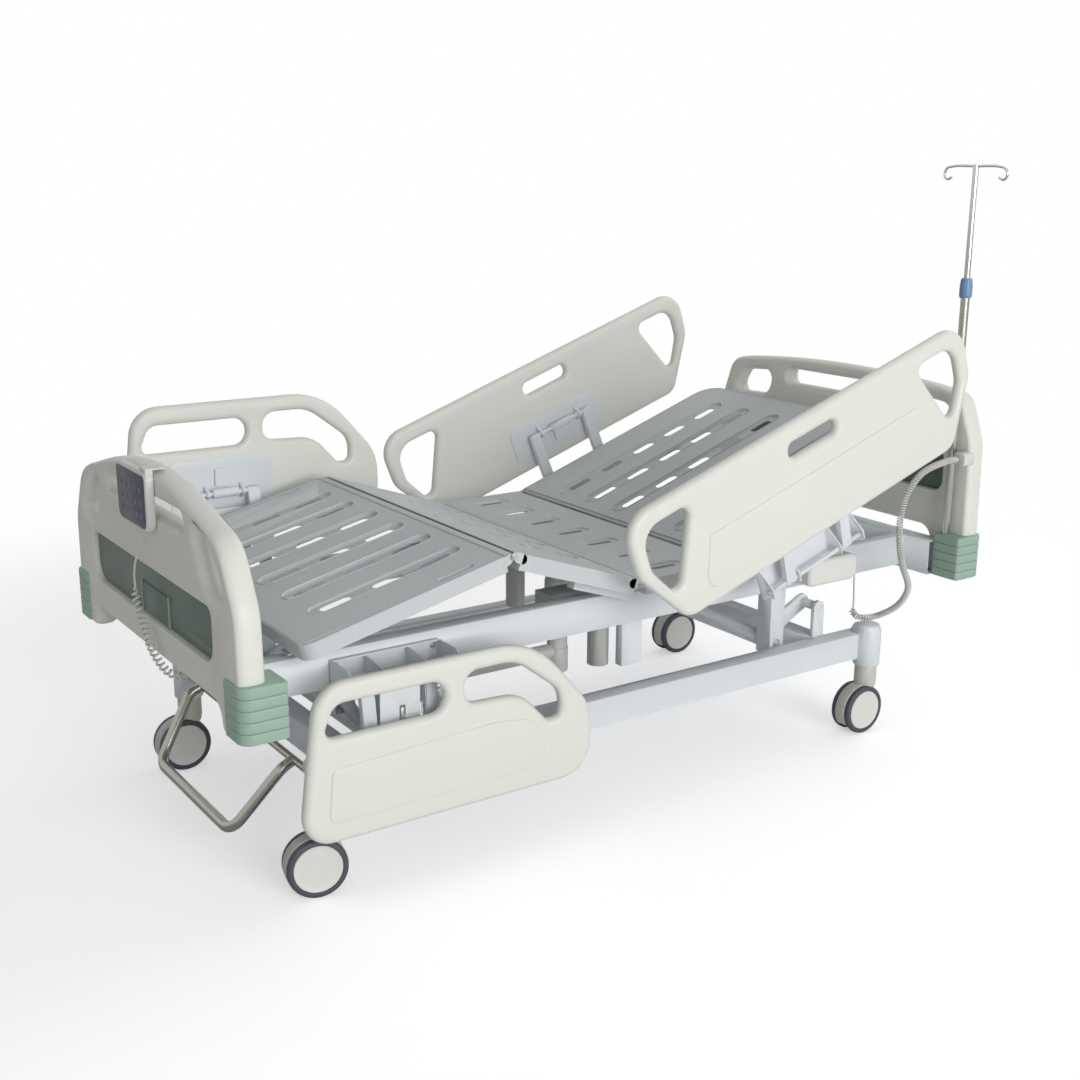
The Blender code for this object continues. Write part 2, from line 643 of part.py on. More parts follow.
def make_thigh():
    top = PLATFORM_TOP - HINGE_Z
    shell, cut = pan(0.004, THIGH_LENGTH - 0.003, 0.014, THIGH_LENGTH - 0.02, top, [])
    for u, inward in ((0.0, 1), (THIGH_LENGTH, -1)):
        ears, holes = outer_ears(u, inward, -0.003)
        shell += ears
        cut += holes
    # Stiffeners that run down outside the frame rails.
    for side in (-1, 1):
        shell.append(prism("Y", [(0.125, top - SHEET + 0.0005), (0.125, -0.052), (-0.062, -0.052), (-0.062, -0.028), (0.02, -0.028), (0.02, top - SHEET + 0.0005)],
                           side * 0.349, side * 0.375))
    # The horn that the knee motor pushes hangs under the hinge. Local y runs the other way.
    horn_u = 0.1 * math.sin(THIGH_HORN)
    horn_v = -0.1 * math.cos(THIGH_HORN)
    y = -KNEE_Y
    outline = [
        (0.03, top - SHEET + 0.0005), (0.06, top - SHEET + 0.0005), (0.04, horn_v + 0.02),
        (horn_u, horn_v - 0.013), (horn_u - 0.013, horn_v), (horn_u - 0.004, horn_v + 0.012), (0.016, horn_v + 0.045),
    ]
    shell += horn(outline, horn_u, horn_v, y)
    finish("platform_thigh", STEEL, shell, cut, (0, 0, 0), frame_at(x_of(0), HINGE_Z, THIGH_ANGLE, -1))


def make_calf():
    top = PLATFORM_TOP - HINGE_Z
    slots = []
    for y in (-0.3125, -0.1875, -0.0625, 0.0625, 0.1875, 0.3125):
        slots += [(u, u + 0.073, y, 0.013) for u in (0.08, 0.197, 0.322)]
    slots += [(0.1, 0.16, y, 0.005) for y in (-0.43, 0.43)]
    shell, cut = pan(0.004, CALF_LENGTH, 0.021, CALF_LENGTH, top, slots, round_end=0.05)
    shell += inner_ears(0.0, 1, -0.01)
    # Curved glides that run on the frame when the section moves.
    for side in (-1, 1):
        outline = [(0.445, top - SHEET + 0.0005), (0.449, top - SHEET + 0.0005), (0.451, -0.03), (0.468, -0.046),
                   (0.493, -0.0475), (0.493, -0.0505), (0.466, -0.049), (0.446, -0.032)]
        shell.append(prism("Y", outline, side * (FRAME_IN + 0.003), side * FRAME_OUT))
    knee_x, knee_z = knee()
    finish("platform_calf", STEEL, shell, cut, (0, 0, 0), frame_at(knee_x, knee_z, -CALF_ANGLE, -1))


def make_back():
    top = PLATFORM_TOP - HINGE_Z
    slots = []
    for y in (-0.31, -0.19, -0.065, 0.065, 0.19, 0.31):
        slots += [(0.078 + 0.12 * k, 0.15 + 0.12 * k, y, 0.013) for k in range(5)]
    shell, cut = pan(0.006, BACK_LENGTH, 0.0165, BACK_LENGTH, top, slots, round_end=0.06)
    ears, holes = outer_ears(0.0, 1, -0.006)
    shell += ears
    cut += holes
    horn_u = 0.11 * math.sin(BACK_HORN)
    horn_v = -0.11 * math.cos(BACK_HORN)
    y = BACK_Y
    outline = [
        (0.025, top - SHEET + 0.0005), (0.1, top - SHEET + 0.0005), (0.046, horn_v - 0.006),
        (horn_u, horn_v - 0.013), (horn_u - 0.013, horn_v), (horn_u - 0.004, horn_v + 0.012), (0.025, -0.072),
    ]
    shell += horn(outline, horn_u, horn_v, y)
    finish("platform_back", STEEL, shell, cut, (0, 0, 0), frame_at(x_of(SEAT_LENGTH), HINGE_Z, BACK_ANGLE, 1))


# Motors

KNEE_Y = 0.25
BACK_Y = -0.25
LIFT_Y = 0.231
# Angle of each horn from straight down, in its section's own frame.
THIGH_HORN = math.radians(-15.75)
BACK_HORN = math.radians(-37.5)


def make_motor(name, way, y, axis_z, motor_x, tube_from, tube_to, carrier_low):
    """A motor with its straight tube; the rod slides inside the tube."""
    side = 1 if y > 0 else -1
    x = x_of(motor_x)
    start = x_of(tube_from)
    end = x_of(tube_to)
    outer = side * (FRAME_IN - GAP)
    parts = [rod("Z", x, y, 0.026, 0.302, axis_z + 0.01, 20)]
    parts.append(box(x - 0.045, x + 0.045, y - side * 0.028, outer, carrier_low, FRAME_TOP - 0.002))
    parts.append(rod("X", y, axis_z, 0.018, x, end, 12))
    parts.append(rod("Z", x, y, 0.024, axis_z, carrier_low + 0.02, 20))
    bore = rod("X", y, axis_z, 0.0106, start, end + way * 0.02, 12)
    finish(name, GREY, parts, [bore], (x, y, axis_z))


def make_rod(name, way, y, axis_z, pin_x, back_x, slot_half, slot_wide):
    """The sliding rod. Its slotted end takes up the arc of the horn's pin."""
    high = slot_half + 0.009
    parts = [rod("X", y, axis_z, 0.01, back_x, pin_x - way * 0.02, 12)]
    lo, hi = sorted((pin_x - way * 0.028, pin_x + way * 0.02))
    parts.append(box(lo, hi, y - 0.006, y + 0.006, axis_z - high, axis_z + high))
    cut = [bar("Y", pin_x, axis_z - slot_half + slot_wide, pin_x, axis_z + slot_half - slot_wide, slot_wide,
               y - 0.03, y + 0.03)]
    finish(name, STAINLESS, parts, cut, (pin_x, y, axis_z))


def make_motors():
    # Back section: the pin swings 37.5 degrees either side of straight down.
    half = math.radians(37.5)
    rise = 0.11 * (1 - math.cos(half))
    axis_z = HINGE_Z - 0.11 * (1 + math.cos(half)) / 2
    now = BACK_ANGLE - half
    pin = x_of(SEAT_LENGTH) + 0.948 * 0.11 * now
    make_motor("back_motor", 1, BACK_Y, axis_z, 0.03, 0.002, 0.168, 0.445)
    make_rod("back_motor_rod", 1, BACK_Y, axis_z, pin, pin - 0.196, rise / 2 + 0.0105, 0.0098)
    # Thigh section: 15.75 degrees either side.
    half = math.radians(15.75)
    rise = 0.1 * (1 - math.cos(half))
    axis_z = HINGE_Z - 0.1 * (1 + math.cos(half)) / 2
    now = THIGH_ANGLE - half
    pin = x_of(0) - 0.99 * 0.1 * now
    make_motor("knee_motor", -1, KNEE_Y, axis_z, 0.12, 0.155, 0.061, 0.435)
    make_rod("knee_motor_rod", -1, KNEE_Y, axis_z, pin, pin + 0.122, rise / 2 + 0.0105, 0.0098)
    # Lift arms: the horns have room for 46 degrees either side of straight up.
    half = math.radians(46)
    rise = HORN_LENGTH * (1 - math.cos(half))
    axis_z = POST_PIN_Z + HORN_LENGTH * (1 + math.cos(half)) / 2
    now = HORN_ANGLE - math.pi / 2
    shift = -0.92 * HORN_LENGTH * now
    pin = x_of(POST_FOOT) + shift
    make_motor("lift_motor_foot", -1, -LIFT_Y, axis_z, -0.077, POST_FOOT + 0.282, POST_FOOT + 0.102, 0.43)
    make_rod("lift_motor_foot_rod", -1, -LIFT_Y, axis_z, pin, pin + 0.207, rise / 2 + 0.012, 0.0115)
    pin = x_of(POST_HEAD) + shift
    make_motor("lift_motor_head", 1, LIFT_Y, axis_z, 0.235, POST_HEAD - 0.285, POST_HEAD - 0.1, 0.43)
    make_rod("lift_motor_head_rod", 1, LIFT_Y, axis_z, pin, pin - 0.207, rise / 2 + 0.012, 0.0115)


# Side rails

FOOT_RAIL = [
    (-0.855, 0.0, 0.065), (-0.812, 0.343, 0.075), (-0.3, 0.343, 0.2), (-0.143, 0.165, 0.13), (-0.141, 0.0, 0.08),
]
FOOT_SLOT = [(-0.8, 0.226, 0.018), (-0.772, 0.296, 0.035), (-0.518, 0.296, 0.034), (-0.518, 0.226, 0.034)]
FOOT_BEAN = [
    (-0.472, 0.303, 0.035), (-0.345, 0.303, 0.1), (-0.226, 0.212, 0.06), (-0.228, 0.15, 0.018),
    (-0.262, 0.152, 0.018), (-0.33, 0.226, 0.09), (-0.472, 0.232, 0.03),
]
HEAD_MIDDLE = 0.224
HEAD_HALF = [(0.549, 0.308, 0.115), (0.545, 0.165, 0.07), (0.447, 0.01, 0.05)]
HEAD_OPENING = [(0.366, 0.263, 0.02), (0.507, 0.263, 0.06), (0.507, 0.165, 0.05), (0.455, 0.072, 0.02)]


def rail_body(side, mid, pivot_y, outline, holes, plate, lugs, pivot_v):
    """A moulded rail with its steel mounting plate and lugs on the inner face."""
    inner = mid - RAIL_THICK / 2
    rail = slab("Y", rounded(outline), [rounded(hole) for hole in holes],
                side * inner, side * (inner + RAIL_THICK), 0.012)
    parts = [rail]
    u0, u1, v0, v1 = plate
    parts.append(prism("Y", rounded([(u0, v0, 0.015), (u1, v0, 0.015), (u1, v1, 0.015), (u0, v1, 0.015)]),
                       *sorted((side * (inner - 0.003), side * (inner + 0.004)))))
    cut = []
    for u in lugs:
        parts.append(prism("X", [
            (side * (inner - 0.001), pivot_v - 0.022), (side * pivot_y, pivot_v - 0.012),
            (side * (pivot_y - 0.011), pivot_v - 0.006), (side * (pivot_y - 0.011), pivot_v + 0.006),
            (side * pivot_y, pivot_v + 0.012), (side * (inner - 0.001), pivot_v + 0.022),
        ], u - 0.004, u + 0.004))
    cut.append(rod("X", side * pivot_y, pivot_v, PIN_RADIUS + 0.0008, u0, u1, 12))
    return parts, cut


def arm_body(side, base, elbow, top, spots, base_ends, top_ends):
    """Two cranked arms on one lower and one upper shaft."""
    parts = []
    for u in spots:
        lo, hi = u - 0.015, u + 0.015
        if elbow:
            parts.append(bar("X", side * base[0], base[1], side * elbow[0], elbow[1], 0.0085, lo, hi))
            parts.append(bar("X", side * elbow[0], elbow[1], side * top[0], top[1], 0.0085, lo, hi))
        else:
            parts.append(bar("X", side * base[0], base[1], side * top[0], top[1], 0.0085, lo, hi))
    parts.append(rod("X", side * base[0], base[1], PIN_RADIUS, *base_ends, 12))
    parts.append(rod("X", side * top[0], top[1], PIN_RADIUS, *top_ends, 12))
    middle = sum(spots) / 2
    parts.append(rod("X", side * top[0], top[1], 0.0115, middle - 0.034, middle + 0.034, 12))
    return parts


def foot_bracket(side, u0, u1, spots):
    """The steel bracket bolted to the side of the frame rail."""
    face = FRAME_OUT + GAP
    z0, z1 = 0.407, FRAME_TOP - 0.018
    parts = [box(u0, u1, side * face, side * (face + 0.004), z0, z1)]
    lug = [
        (side * (face + 0.002), z0), (side * (FOOT_PIVOT_Y - 0.004), FOOT_PIVOT_Z - 0.018),
        (side * (FOOT_PIVOT_Y + 0.013), FOOT_PIVOT_Z - 0.01), (side * (FOOT_PIVOT_Y + 0.013), FOOT_PIVOT_Z + 0.012),
        (side * (face + 0.002), z1),
    ]
    for u in (u0 + 0.002, u1 - 0.002, spots[0] + 0.024, spots[1] - 0.024):
        parts.append(prism("X", lug, u - 0.002, u + 0.002))
    cut = [rod("X", side * FOOT_PIVOT_Y, FOOT_PIVOT_Z, PIN_RADIUS + 0.0008, u0 - 0.01, u1 + 0.01, 12)]
    return parts, cut


def make_foot_rails():
    spots = (x_of(-0.667), x_of(-0.52))
    ends = (x_of(-0.722), x_of(-0.465))
    raised_y = RAIL_MID - RAIL_OFFSET
    lean = math.asin((raised_y - FOOT_PIVOT_Y) / LINK)
    down_y = RAIL_DOWN_MID - RAIL_OFFSET
    drop = math.acos((down_y - FOOT_PIVOT_Y) / LINK) + math.pi / 2
    raised_z = FOOT_PIVOT_Z + LINK * math.cos(lean)
    down_z = FOOT_PIVOT_Z - LINK * math.sqrt(1 - ((down_y - FOOT_PIVOT_Y) / LINK) ** 2)
    pivot_v = down_z - 0.141
    # The raised arm is drawn first, then turned down for the near side.
    turn = math.atan2(raised_z - FOOT_PIVOT_Z, raised_y - FOOT_PIVOT_Y)
    turn -= math.atan2(down_z - FOOT_PIVOT_Z, down_y - FOOT_PIVOT_Y)
    outline = [(x_of(a), b, r) for a, b, r in FOOT_RAIL]
    holes = [[(x_of(a), b, r) for a, b, r in hole] for hole in (FOOT_SLOT, FOOT_BEAN)]
    for side in (-1, 1):
        up = side > 0
        top = (raised_y, raised_z)
        elbow = (FOOT_PIVOT_Y + 0.045, FOOT_PIVOT_Z + 0.03)
        parts = arm_body(side, (FOOT_PIVOT_Y, FOOT_PIVOT_Z), elbow, top, spots,
                         (ends[0] - 0.002, ends[1] + 0.002), (spots[0], spots[1]))
        pivot = Vector((0, side * FOOT_PIVOT_Y, FOOT_PIVOT_Z))
        spin = Matrix.Identity(4)
        if not up:
            spin = Matrix.Translation(pivot) @ Matrix.Rotation(side * turn * -1, 4, "X") @ Matrix.Translation(-pivot)
        name = "siderail_foot_" + side_name(side)
        finish(name + "_arms", STEEL, parts, [], (spots[0], side * FOOT_PIVOT_Y, FOOT_PIVOT_Z), spin)
        mid = RAIL_MID if up else RAIL_DOWN_MID
        pivot_z = raised_z if up else down_z
        low = pivot_z - pivot_v
        parts, cut = rail_body(side, mid, mid - RAIL_OFFSET, [(a, b + low, r) for a, b, r in outline],
                               [[(a, b + low, r) for a, b, r in hole] for hole in holes],
                               (x_of(-0.73), x_of(-0.457), low + 0.045, low + 0.2),
                               (spots[0] + 0.026, spots[1] - 0.026), pivot_z)
        finish(name, ABS, parts, cut, (spots[0], side * (mid - RAIL_OFFSET), pivot_z), smooth=40)
        parts, cut = foot_bracket(side, *ends, spots)
        finish(name + "_bracket", STEEL, parts, cut, (spots[0], side * FOOT_PIVOT_Y, FOOT_PIVOT_Z))


def make_head_rails():
    spots = (0.13, 0.322)
    place = frame_at(x_of(SEAT_LENGTH), HINGE_Z, BACK_ANGLE, 1)
    top_y = RAIL_MID - RAIL_OFFSET
    reach = math.sqrt(LINK ** 2 - (top_y - HEAD_PIVOT_Y) ** 2)
    top_v = HEAD_PIVOT_V + reach
    half = [(HEAD_MIDDLE + a, b, r) for a, b, r in HEAD_HALF]
    outline = half + [(2 * HEAD_MIDDLE - a, b, r) for a, b, r in reversed(half)]
    slot = [(0.155, 0.262, 0.017), (0.31, 0.262, 0.017), (0.31, 0.225, 0.017), (0.155, 0.225, 0.017)]
    right = [(HEAD_MIDDLE + a, b, r) for a, b, r in HEAD_OPENING]
    left = [(HEAD_MIDDLE - a, b, r) for a, b, r in HEAD_OPENING]
    for side in (-1, 1):
        name = "siderail_head_" + side_name(side)
        parts, cut = rail_body(side, RAIL_MID, top_y, outline, [slot, right, left], (0.063, 0.38, 0.05, 0.151),
                               (spots[0] + 0.026, spots[1] - 0.026), top_v)
        finish(name, ABS, parts, cut, (spots[0], side * top_y, top_v), place, smooth=40)
        parts = arm_body(side, (HEAD_PIVOT_Y, HEAD_PIVOT_V), None, (top_y, top_v), spots, (0.061, 0.382),
                         (spots[0], spots[1]))
        finish(name + "_arms", STEEL, parts, [], (spots[0], side * HEAD_PIVOT_Y, HEAD_PIVOT_V), place)
        face = PLATFORM_HALF + GAP
        parts = [box(0.063, 0.38, side * face, side * (face + 0.004), -0.128, -0.004)]
        lug = [
            (side * (face + 0.002), -0.128), (side * (HEAD_PIVOT_Y + 0.012), HEAD_PIVOT_V - 0.012),
            (side * (HEAD_PIVOT_Y + 0.012), HEAD_PIVOT_V + 0.012), (side * (face + 0.002), -0.03),
        ]
        for u in (0.065, 0.378, spots[0] + 0.024, spots[1] - 0.024):
            parts.append(prism("X", lug, u - 0.002, u + 0.002))
        cut = [rod("X", side * HEAD_PIVOT_Y, HEAD_PIVOT_V, PIN_RADIUS + 0.0008, 0.05, 0.4, 12)]
        finish(name + "_bracket", STEEL, parts, cut, (spots[0], side * HEAD_PIVOT_Y, HEAD_PIVOT_V), place)


# Pole, handset, control box and cords

def make_pole():
    x = x_of(1.03)
    y = -0.448
    foot = BUMPER_TOP + GAP
    parts = [rod("Z", x, y, 0.011, foot, 1.17, 20)]
    parts.append(rod("Z", x, y, 0.016, 1.146, 1.196, 20))
    cut = [rod("Z", x, y, 0.0082, foot + 0.02, 1.3, 12)]
    finish("iv_pole_tube", STAINLESS, parts, cut, (x, y, foot))
    stem = [rod("Z", x, y, 0.0075, 0.77, 1.452, 12)]
    for way in (-1, 1):
        hook = [(x, y, 1.47), (x, y + way * 0.06, 1.4715), (x, y + way * 0.092, 1.466), (x, y + way * 0.0975, 1.447),
                (x, y + way * 0.087, 1.436), (x, y + way * 0.073, 1.443)]
        stem.append(tube(bent(hook, 0.012, 2), 0.0035, 6))
    stem.append(rod("Z", x, y, 0.0075, 1.44, 1.4745, 12))
    finish("iv_pole_rod", STAINLESS, stem, [], (x, y, 1.196))


def make_handset():
    face = board_face(-1) - BOARD_THICK - GAP
    outline = rounded([(-0.092, 0.735, 0.015), (0.086, 0.735, 0.015), (0.09, 0.862, 0.012), (-0.096, 0.862, 0.012)])
    shell = [slab("X", outline, [], face - 0.03, face, 0.004)]
    # A hook over the top of the board keeps it in place.
    shell.append(box(face - 0.02, face + 0.03, -0.09, -0.055, 0.85 + 0.0155, 0.87))
    shell.append(box(face - 0.02, face - 0.0005, -0.09, -0.055, 0.84, 0.87))
    finish("handset", KEYS, shell, [], (face, 0, 0.735))


def make_control_box():
    face = FRAME_OUT + GAP
    outline = rounded([(x_of(0.56), 0.445, 0.015), (x_of(0.73), 0.445, 0.02), (x_of(0.73), 0.512, 0.02), (x_of(0.56), 0.512, 0.015)])
    shell = [slab("Y", outline, [], -face - 0.085, -face, 0.006)]
    shell.append(rod("Y", x_of(0.525), 0.478, 0.02, -face - 0.03, -face, 12))
    shell.append(box(x_of(0.525), x_of(0.57), -face - 0.02, -face, 0.466, 0.49))
    finish("control_box", GREY, shell, [], (x_of(0.56), -face, 0.445))


def smooth(route, step):
    """Points along a smooth curve through the route's own points, about a step apart."""
    places = [Vector(point) for point in route]
    slopes = [places[1] - places[0]]
    slopes += [(after - last) / 2 for last, after in zip(places, places[2:])]
    slopes.append(places[-1] - places[-2])
    path = [places[0]]
    for i in range(len(places) - 1):
        parts = max(1, round((places[i + 1] - places[i]).length / step))
        for k in range(1, parts + 1):
            t = k / parts
            path.append(
                places[i] * (2 * t ** 3 - 3 * t ** 2 + 1) + slopes[i] * (t ** 3 - 2 * t ** 2 + t)
                + places[i + 1] * (3 * t ** 2 - 2 * t ** 3) + slopes[i + 1] * (t ** 3 - t ** 2)
            )
    return path


def cord(name, route, radius):
    path = smooth(route, 5 * radius)
    curve = bpy.data.curves.new(name, "CURVE")
    curve.dimensions = "3D"
    curve.bevel_depth = radius
    curve.bevel_resolution = 2
    curve.use_fill_caps = True
    spline = curve.splines.new("POLY")
    spline.points.add(len(path) - 1)
    for point, place in zip(spline.points, path):
        point.co = (*(place - path[0]), 1.0)
    curve.materials.append(CORD)
    object_of(name, curve).location = path[0]


def make_cords():
    # The handset's lead hangs from its lower edge and curls down to a gland in the foot beam.
    face = board_face(-1) - BOARD_THICK
    gland = x_of(-FOOT_BEAM) - BEAM_DEEP - 0.012 - GAP
    cord("cord_handset_lead", [
        (face - 0.016, -0.03, 0.7347), (face - 0.016, -0.03, 0.715), (face - 0.0205, -0.002, 0.66),
        (face - 0.022, 0.008, 0.63), (face - 0.022, 0.008, 0.6053),
    ], 0.0028)
    cord("cord_handset_coil", [
        (face - 0.022, 0.008, 0.605), (face - 0.022, 0.008, 0.58), (face - 0.02, -0.02, 0.525), (face - 0.016, -0.06, 0.475),
        (face - 0.002, -0.095, 0.44), (face + 0.018, -0.12, 0.4305), (gland - 0.02, -0.13, 0.432), (gland, -0.13, 0.432),
    ], 0.0095)
    # The mains lead drops from the frame, curls past the base and rises to its plug.
    low = FRAME_BOTTOM - GAP
    cord("cord_power_lead", [
        (x_of(0.835), -0.315, low), (x_of(0.835), -0.315, 0.4), (x_of(0.843), -0.31, 0.36),
        (x_of(0.85), -0.305, 0.335), (x_of(0.85), -0.305, 0.3153),
    ], 0.0025)
    seat = x_of(1.012)
    cord("cord_power_coil", [
        (x_of(0.85), -0.305, 0.315), (x_of(0.85), -0.305, 0.3), (x_of(0.867), -0.318, 0.286), (x_of(0.892), -0.36, 0.3),
        (x_of(0.897), -0.42, 0.345), (x_of(0.873), -0.468, 0.41), (x_of(0.82), -0.486, 0.49), (x_of(0.8), -0.488, 0.58),
        (x_of(0.815), -0.488, 0.66), (x_of(0.87), -0.487, 0.715), (x_of(0.96), -0.484, 0.735), (seat, -0.484, 0.735),
    ], 0.009)
    face = board_face(1) - GAP
    plug = slab("X", rounded([(-0.503, 0.718, 0.01), (-0.465, 0.718, 0.01), (-0.465, 0.752, 0.01), (-0.503, 0.752, 0.01)]),
                [], seat + GAP, face, 0.002)
    finish("cord_power_plug", CORD, [plug], [], (face, -0.484, 0.735))


make_base()
make_castors()
make_pedal()
make_lift_arms()
make_frame()
make_boards()
make_bumpers()
make_seat()
make_thigh()
make_calf()
make_back()
make_motors()
make_foot_rails()
make_head_rails()
make_pole()
make_handset()
make_control_box()
make_cords()
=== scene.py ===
import json
import math

import bpy
from mathutils import Matrix, Vector

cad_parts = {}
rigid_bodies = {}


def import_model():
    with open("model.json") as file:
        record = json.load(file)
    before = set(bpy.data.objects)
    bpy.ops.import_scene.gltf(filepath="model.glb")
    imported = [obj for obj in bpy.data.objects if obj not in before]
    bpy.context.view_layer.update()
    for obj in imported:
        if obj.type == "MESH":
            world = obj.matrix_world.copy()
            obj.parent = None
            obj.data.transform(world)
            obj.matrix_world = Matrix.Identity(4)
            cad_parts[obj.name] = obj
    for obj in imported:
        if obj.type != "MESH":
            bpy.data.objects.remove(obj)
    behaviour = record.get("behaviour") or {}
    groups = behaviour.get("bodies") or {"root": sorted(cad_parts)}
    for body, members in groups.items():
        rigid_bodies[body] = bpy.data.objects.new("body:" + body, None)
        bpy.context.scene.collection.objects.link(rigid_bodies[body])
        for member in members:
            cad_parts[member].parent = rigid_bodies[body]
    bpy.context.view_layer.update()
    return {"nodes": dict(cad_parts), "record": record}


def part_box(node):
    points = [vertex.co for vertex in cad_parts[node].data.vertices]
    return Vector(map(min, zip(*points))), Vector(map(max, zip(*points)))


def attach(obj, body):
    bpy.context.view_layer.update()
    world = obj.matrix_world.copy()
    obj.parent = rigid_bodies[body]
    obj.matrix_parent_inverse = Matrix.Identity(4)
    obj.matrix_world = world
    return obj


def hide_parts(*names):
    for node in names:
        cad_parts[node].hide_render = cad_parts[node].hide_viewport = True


for leftover in list(bpy.data.objects):
    bpy.data.objects.remove(leftover)
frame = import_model()

# The camera looks from the near foot corner, a little above the boards, through a
# lens of medium length, so the long side of the bed runs back to the right.
EYE = Vector((-1.9472, -2.8180, 1.4624))
YAW, PITCH, ROLL = math.radians(34.342), math.radians(14.899), math.radians(0.307)
LENS, SENSOR = 46.75, 36.0

ahead = Vector((math.sin(YAW) * math.cos(PITCH), math.cos(YAW) * math.cos(PITCH), -math.sin(PITCH)))
level_right = Vector((math.cos(YAW), -math.sin(YAW), 0))
level_up = level_right.cross(ahead)
right = level_right * math.cos(ROLL) + level_up * math.sin(ROLL)
up = level_up * math.cos(ROLL) - level_right * math.sin(ROLL)


def placed(name, data):
    """An object of the data in the scene."""
    made = bpy.data.objects.new(name, data)
    bpy.context.scene.collection.objects.link(made)
    return made


camera = placed("camera", bpy.data.cameras.new("camera"))
camera.data.lens = LENS
camera.data.sensor_width = SENSOR
camera.matrix_world = Matrix.Translation(EYE) @ Matrix((right, up, -ahead)).transposed().to_4x4()
bpy.context.scene.camera = camera


# Moulded and painted surfaces share one effect: a fine grain for the bump and a broad,
# soft mottling that shifts colour and gloss a little from place to place.
def given(thing, **settings):
    """Sets the attributes of the thing."""
    for setting, value in settings.items():
        setattr(thing, setting, value)
    return thing


def fed(tree, node, values):
    """Sets the node's inputs to values, or links them from sockets."""
    for name, value in values.items():
        if isinstance(value, bpy.types.NodeSocket):
            tree.links.new(value, node.inputs[name])
        else:
            node.inputs[name].default_value = value
    return node


def added(tree, kind, values, **settings):
    """A new node of the kind, with its settings and its inputs."""
    return fed(tree, given(tree.nodes.new("ShaderNode" + kind), **settings), values)


def build_skin():
    group = bpy.data.node_groups.new("moulded_skin", "ShaderNodeTree")
    for name, value in (("Grain", 600.0), ("Patch", 6.0)):
        group.interface.new_socket(name, in_out="INPUT", socket_type="NodeSocketFloat").default_value = value
    for name in ("Height", "Tone"):
        group.interface.new_socket(name, in_out="OUTPUT", socket_type="NodeSocketFloat")
    sizes = group.nodes.new("NodeGroupInput")
    place = added(group, "TexCoord", {})
    out = group.nodes.new("NodeGroupOutput")
    for size, detail, result in (("Grain", 2.0, "Height"), ("Patch", 5.0, "Tone")):
        noise = added(group, "TexNoise", {"Vector": place.outputs["Object"], "Scale": sizes.outputs[size],
                                          "Detail": detail})
        group.links.new(noise.outputs["Fac"], out.inputs[result])
    return group


skin = build_skin()


def material_of(name):
    made = bpy.data.materials.new(name)
    made.use_nodes = True
    return made, made.node_tree, made.node_tree.nodes["Principled BSDF"]


def finish_of(name, slot, colour, other, gloss, grain=600, patch=8, depth=0.00006, **sockets):
    """A plastic, rubber or paint with its material slot: two close colours, a range of
    roughness, a grain."""
    made, tree, shader = material_of(name)
    surface = added(tree, "Group", {"Grain": grain, "Patch": patch}, node_tree=skin)
    tone = surface.outputs["Tone"]
    tones = added(tree, "Mix", {"A": (*colour, 1), "B": (*other, 1), "Factor": tone}, data_type="RGBA")
    rough = added(tree, "MapRange", {"From Min": 0.3, "From Max": 0.7, "To Min": gloss[0], "To Max": gloss[1],
                                     "Value": tone})
    bump = added(tree, "Bump", {"Distance": depth, "Height": surface.outputs["Height"]})
    fed(tree, shader, {"Base Color": tones.outputs["Result"], "Roughness": rough.outputs["Result"],
                       "Normal": bump.outputs["Normal"], **sockets})
    return made, slot


# The two free cords. The handset's is a curly lead that hangs from the handset down the
# footboard to a gland in the foot beam; the mains lead is a curly cord that loops from
# under the frame past the base and up to its plug on the headboard.
cord_plastic = finish_of("cord_plastic", "cord_plastic", (0.64, 0.65, 0.62), (0.58, 0.59, 0.56), (0.35, 0.5),
                         900, 25, 0.00003)


def smooth(route, step):
    """Points along a smooth curve through the route's own points, about a step apart."""
    places = [Vector(point) for point in route]
    slopes = [places[1] - places[0]]
    slopes += [(after - last) / 2 for last, after in zip(places, places[2:])]
    slopes.append(places[-1] - places[-2])
    path = [places[0]]
    for i in range(len(places) - 1):
        parts = max(1, round((places[i + 1] - places[i]).length / step))
        for k in range(1, parts + 1):
            t = k / parts
            point = places[i] * (2 * t ** 3 - 3 * t ** 2 + 1) + slopes[i] * (t ** 3 - 2 * t ** 2 + t)
            point += places[i + 1] * (3 * t ** 2 - 2 * t ** 3)
            path.append(point + slopes[i + 1] * (t ** 3 - t ** 2))
    return path


def curly(path, radius, pitch, per_turn=16):
    """Points of a helix wound round the path, drawn in to its middle at both ends."""
    lengths = [0]
    for a, b in zip(path, path[1:]):
        lengths.append(lengths[-1] + (b - a).length)
    total = lengths[-1]
    count = int(total / pitch * per_turn)
    normal = Vector((0.3, 1, 0.2))
    found = []
    leg = 0
    for k in range(count + 1):
        along = total * k / count
        while leg < len(path) - 2 and lengths[leg + 1] < along:
            leg += 1
        a, b = path[leg], path[leg + 1]
        way = (b - a).normalized()
        here = a + way * (along - lengths[leg])
        normal = (normal - way * normal.dot(way)).normalized()
        side = way.cross(normal)
        near_end = min(1, along / (2 * pitch), (total - along) / (2 * pitch))
        wide = radius * near_end ** 2 * (3 - 2 * near_end)
        angle = 2 * math.pi * k / per_turn
        found.append(here + (normal * math.cos(angle) + side * math.sin(angle)) * wide)
    return found


def curve_through(name, lines, closed, **settings):
    """A curve object that runs straight from point to point of each line."""
    data = given(bpy.data.curves.new(name, "CURVE"), **settings)
    for line in lines:
        spline = data.splines.new("POLY")
        spline.points.add(len(line) - 1)
        for point, place in zip(spline.points, line):
            point.co = (*place, 0)[:3] + (1,)
        spline.use_cyclic_u = closed
    return placed(name, data)


def round_curve(name, points, radius, sides):
    return curve_through(name, [points], False, dimensions="3D", bevel_depth=radius, bevel_resolution=sides,
                         use_fill_caps=True)


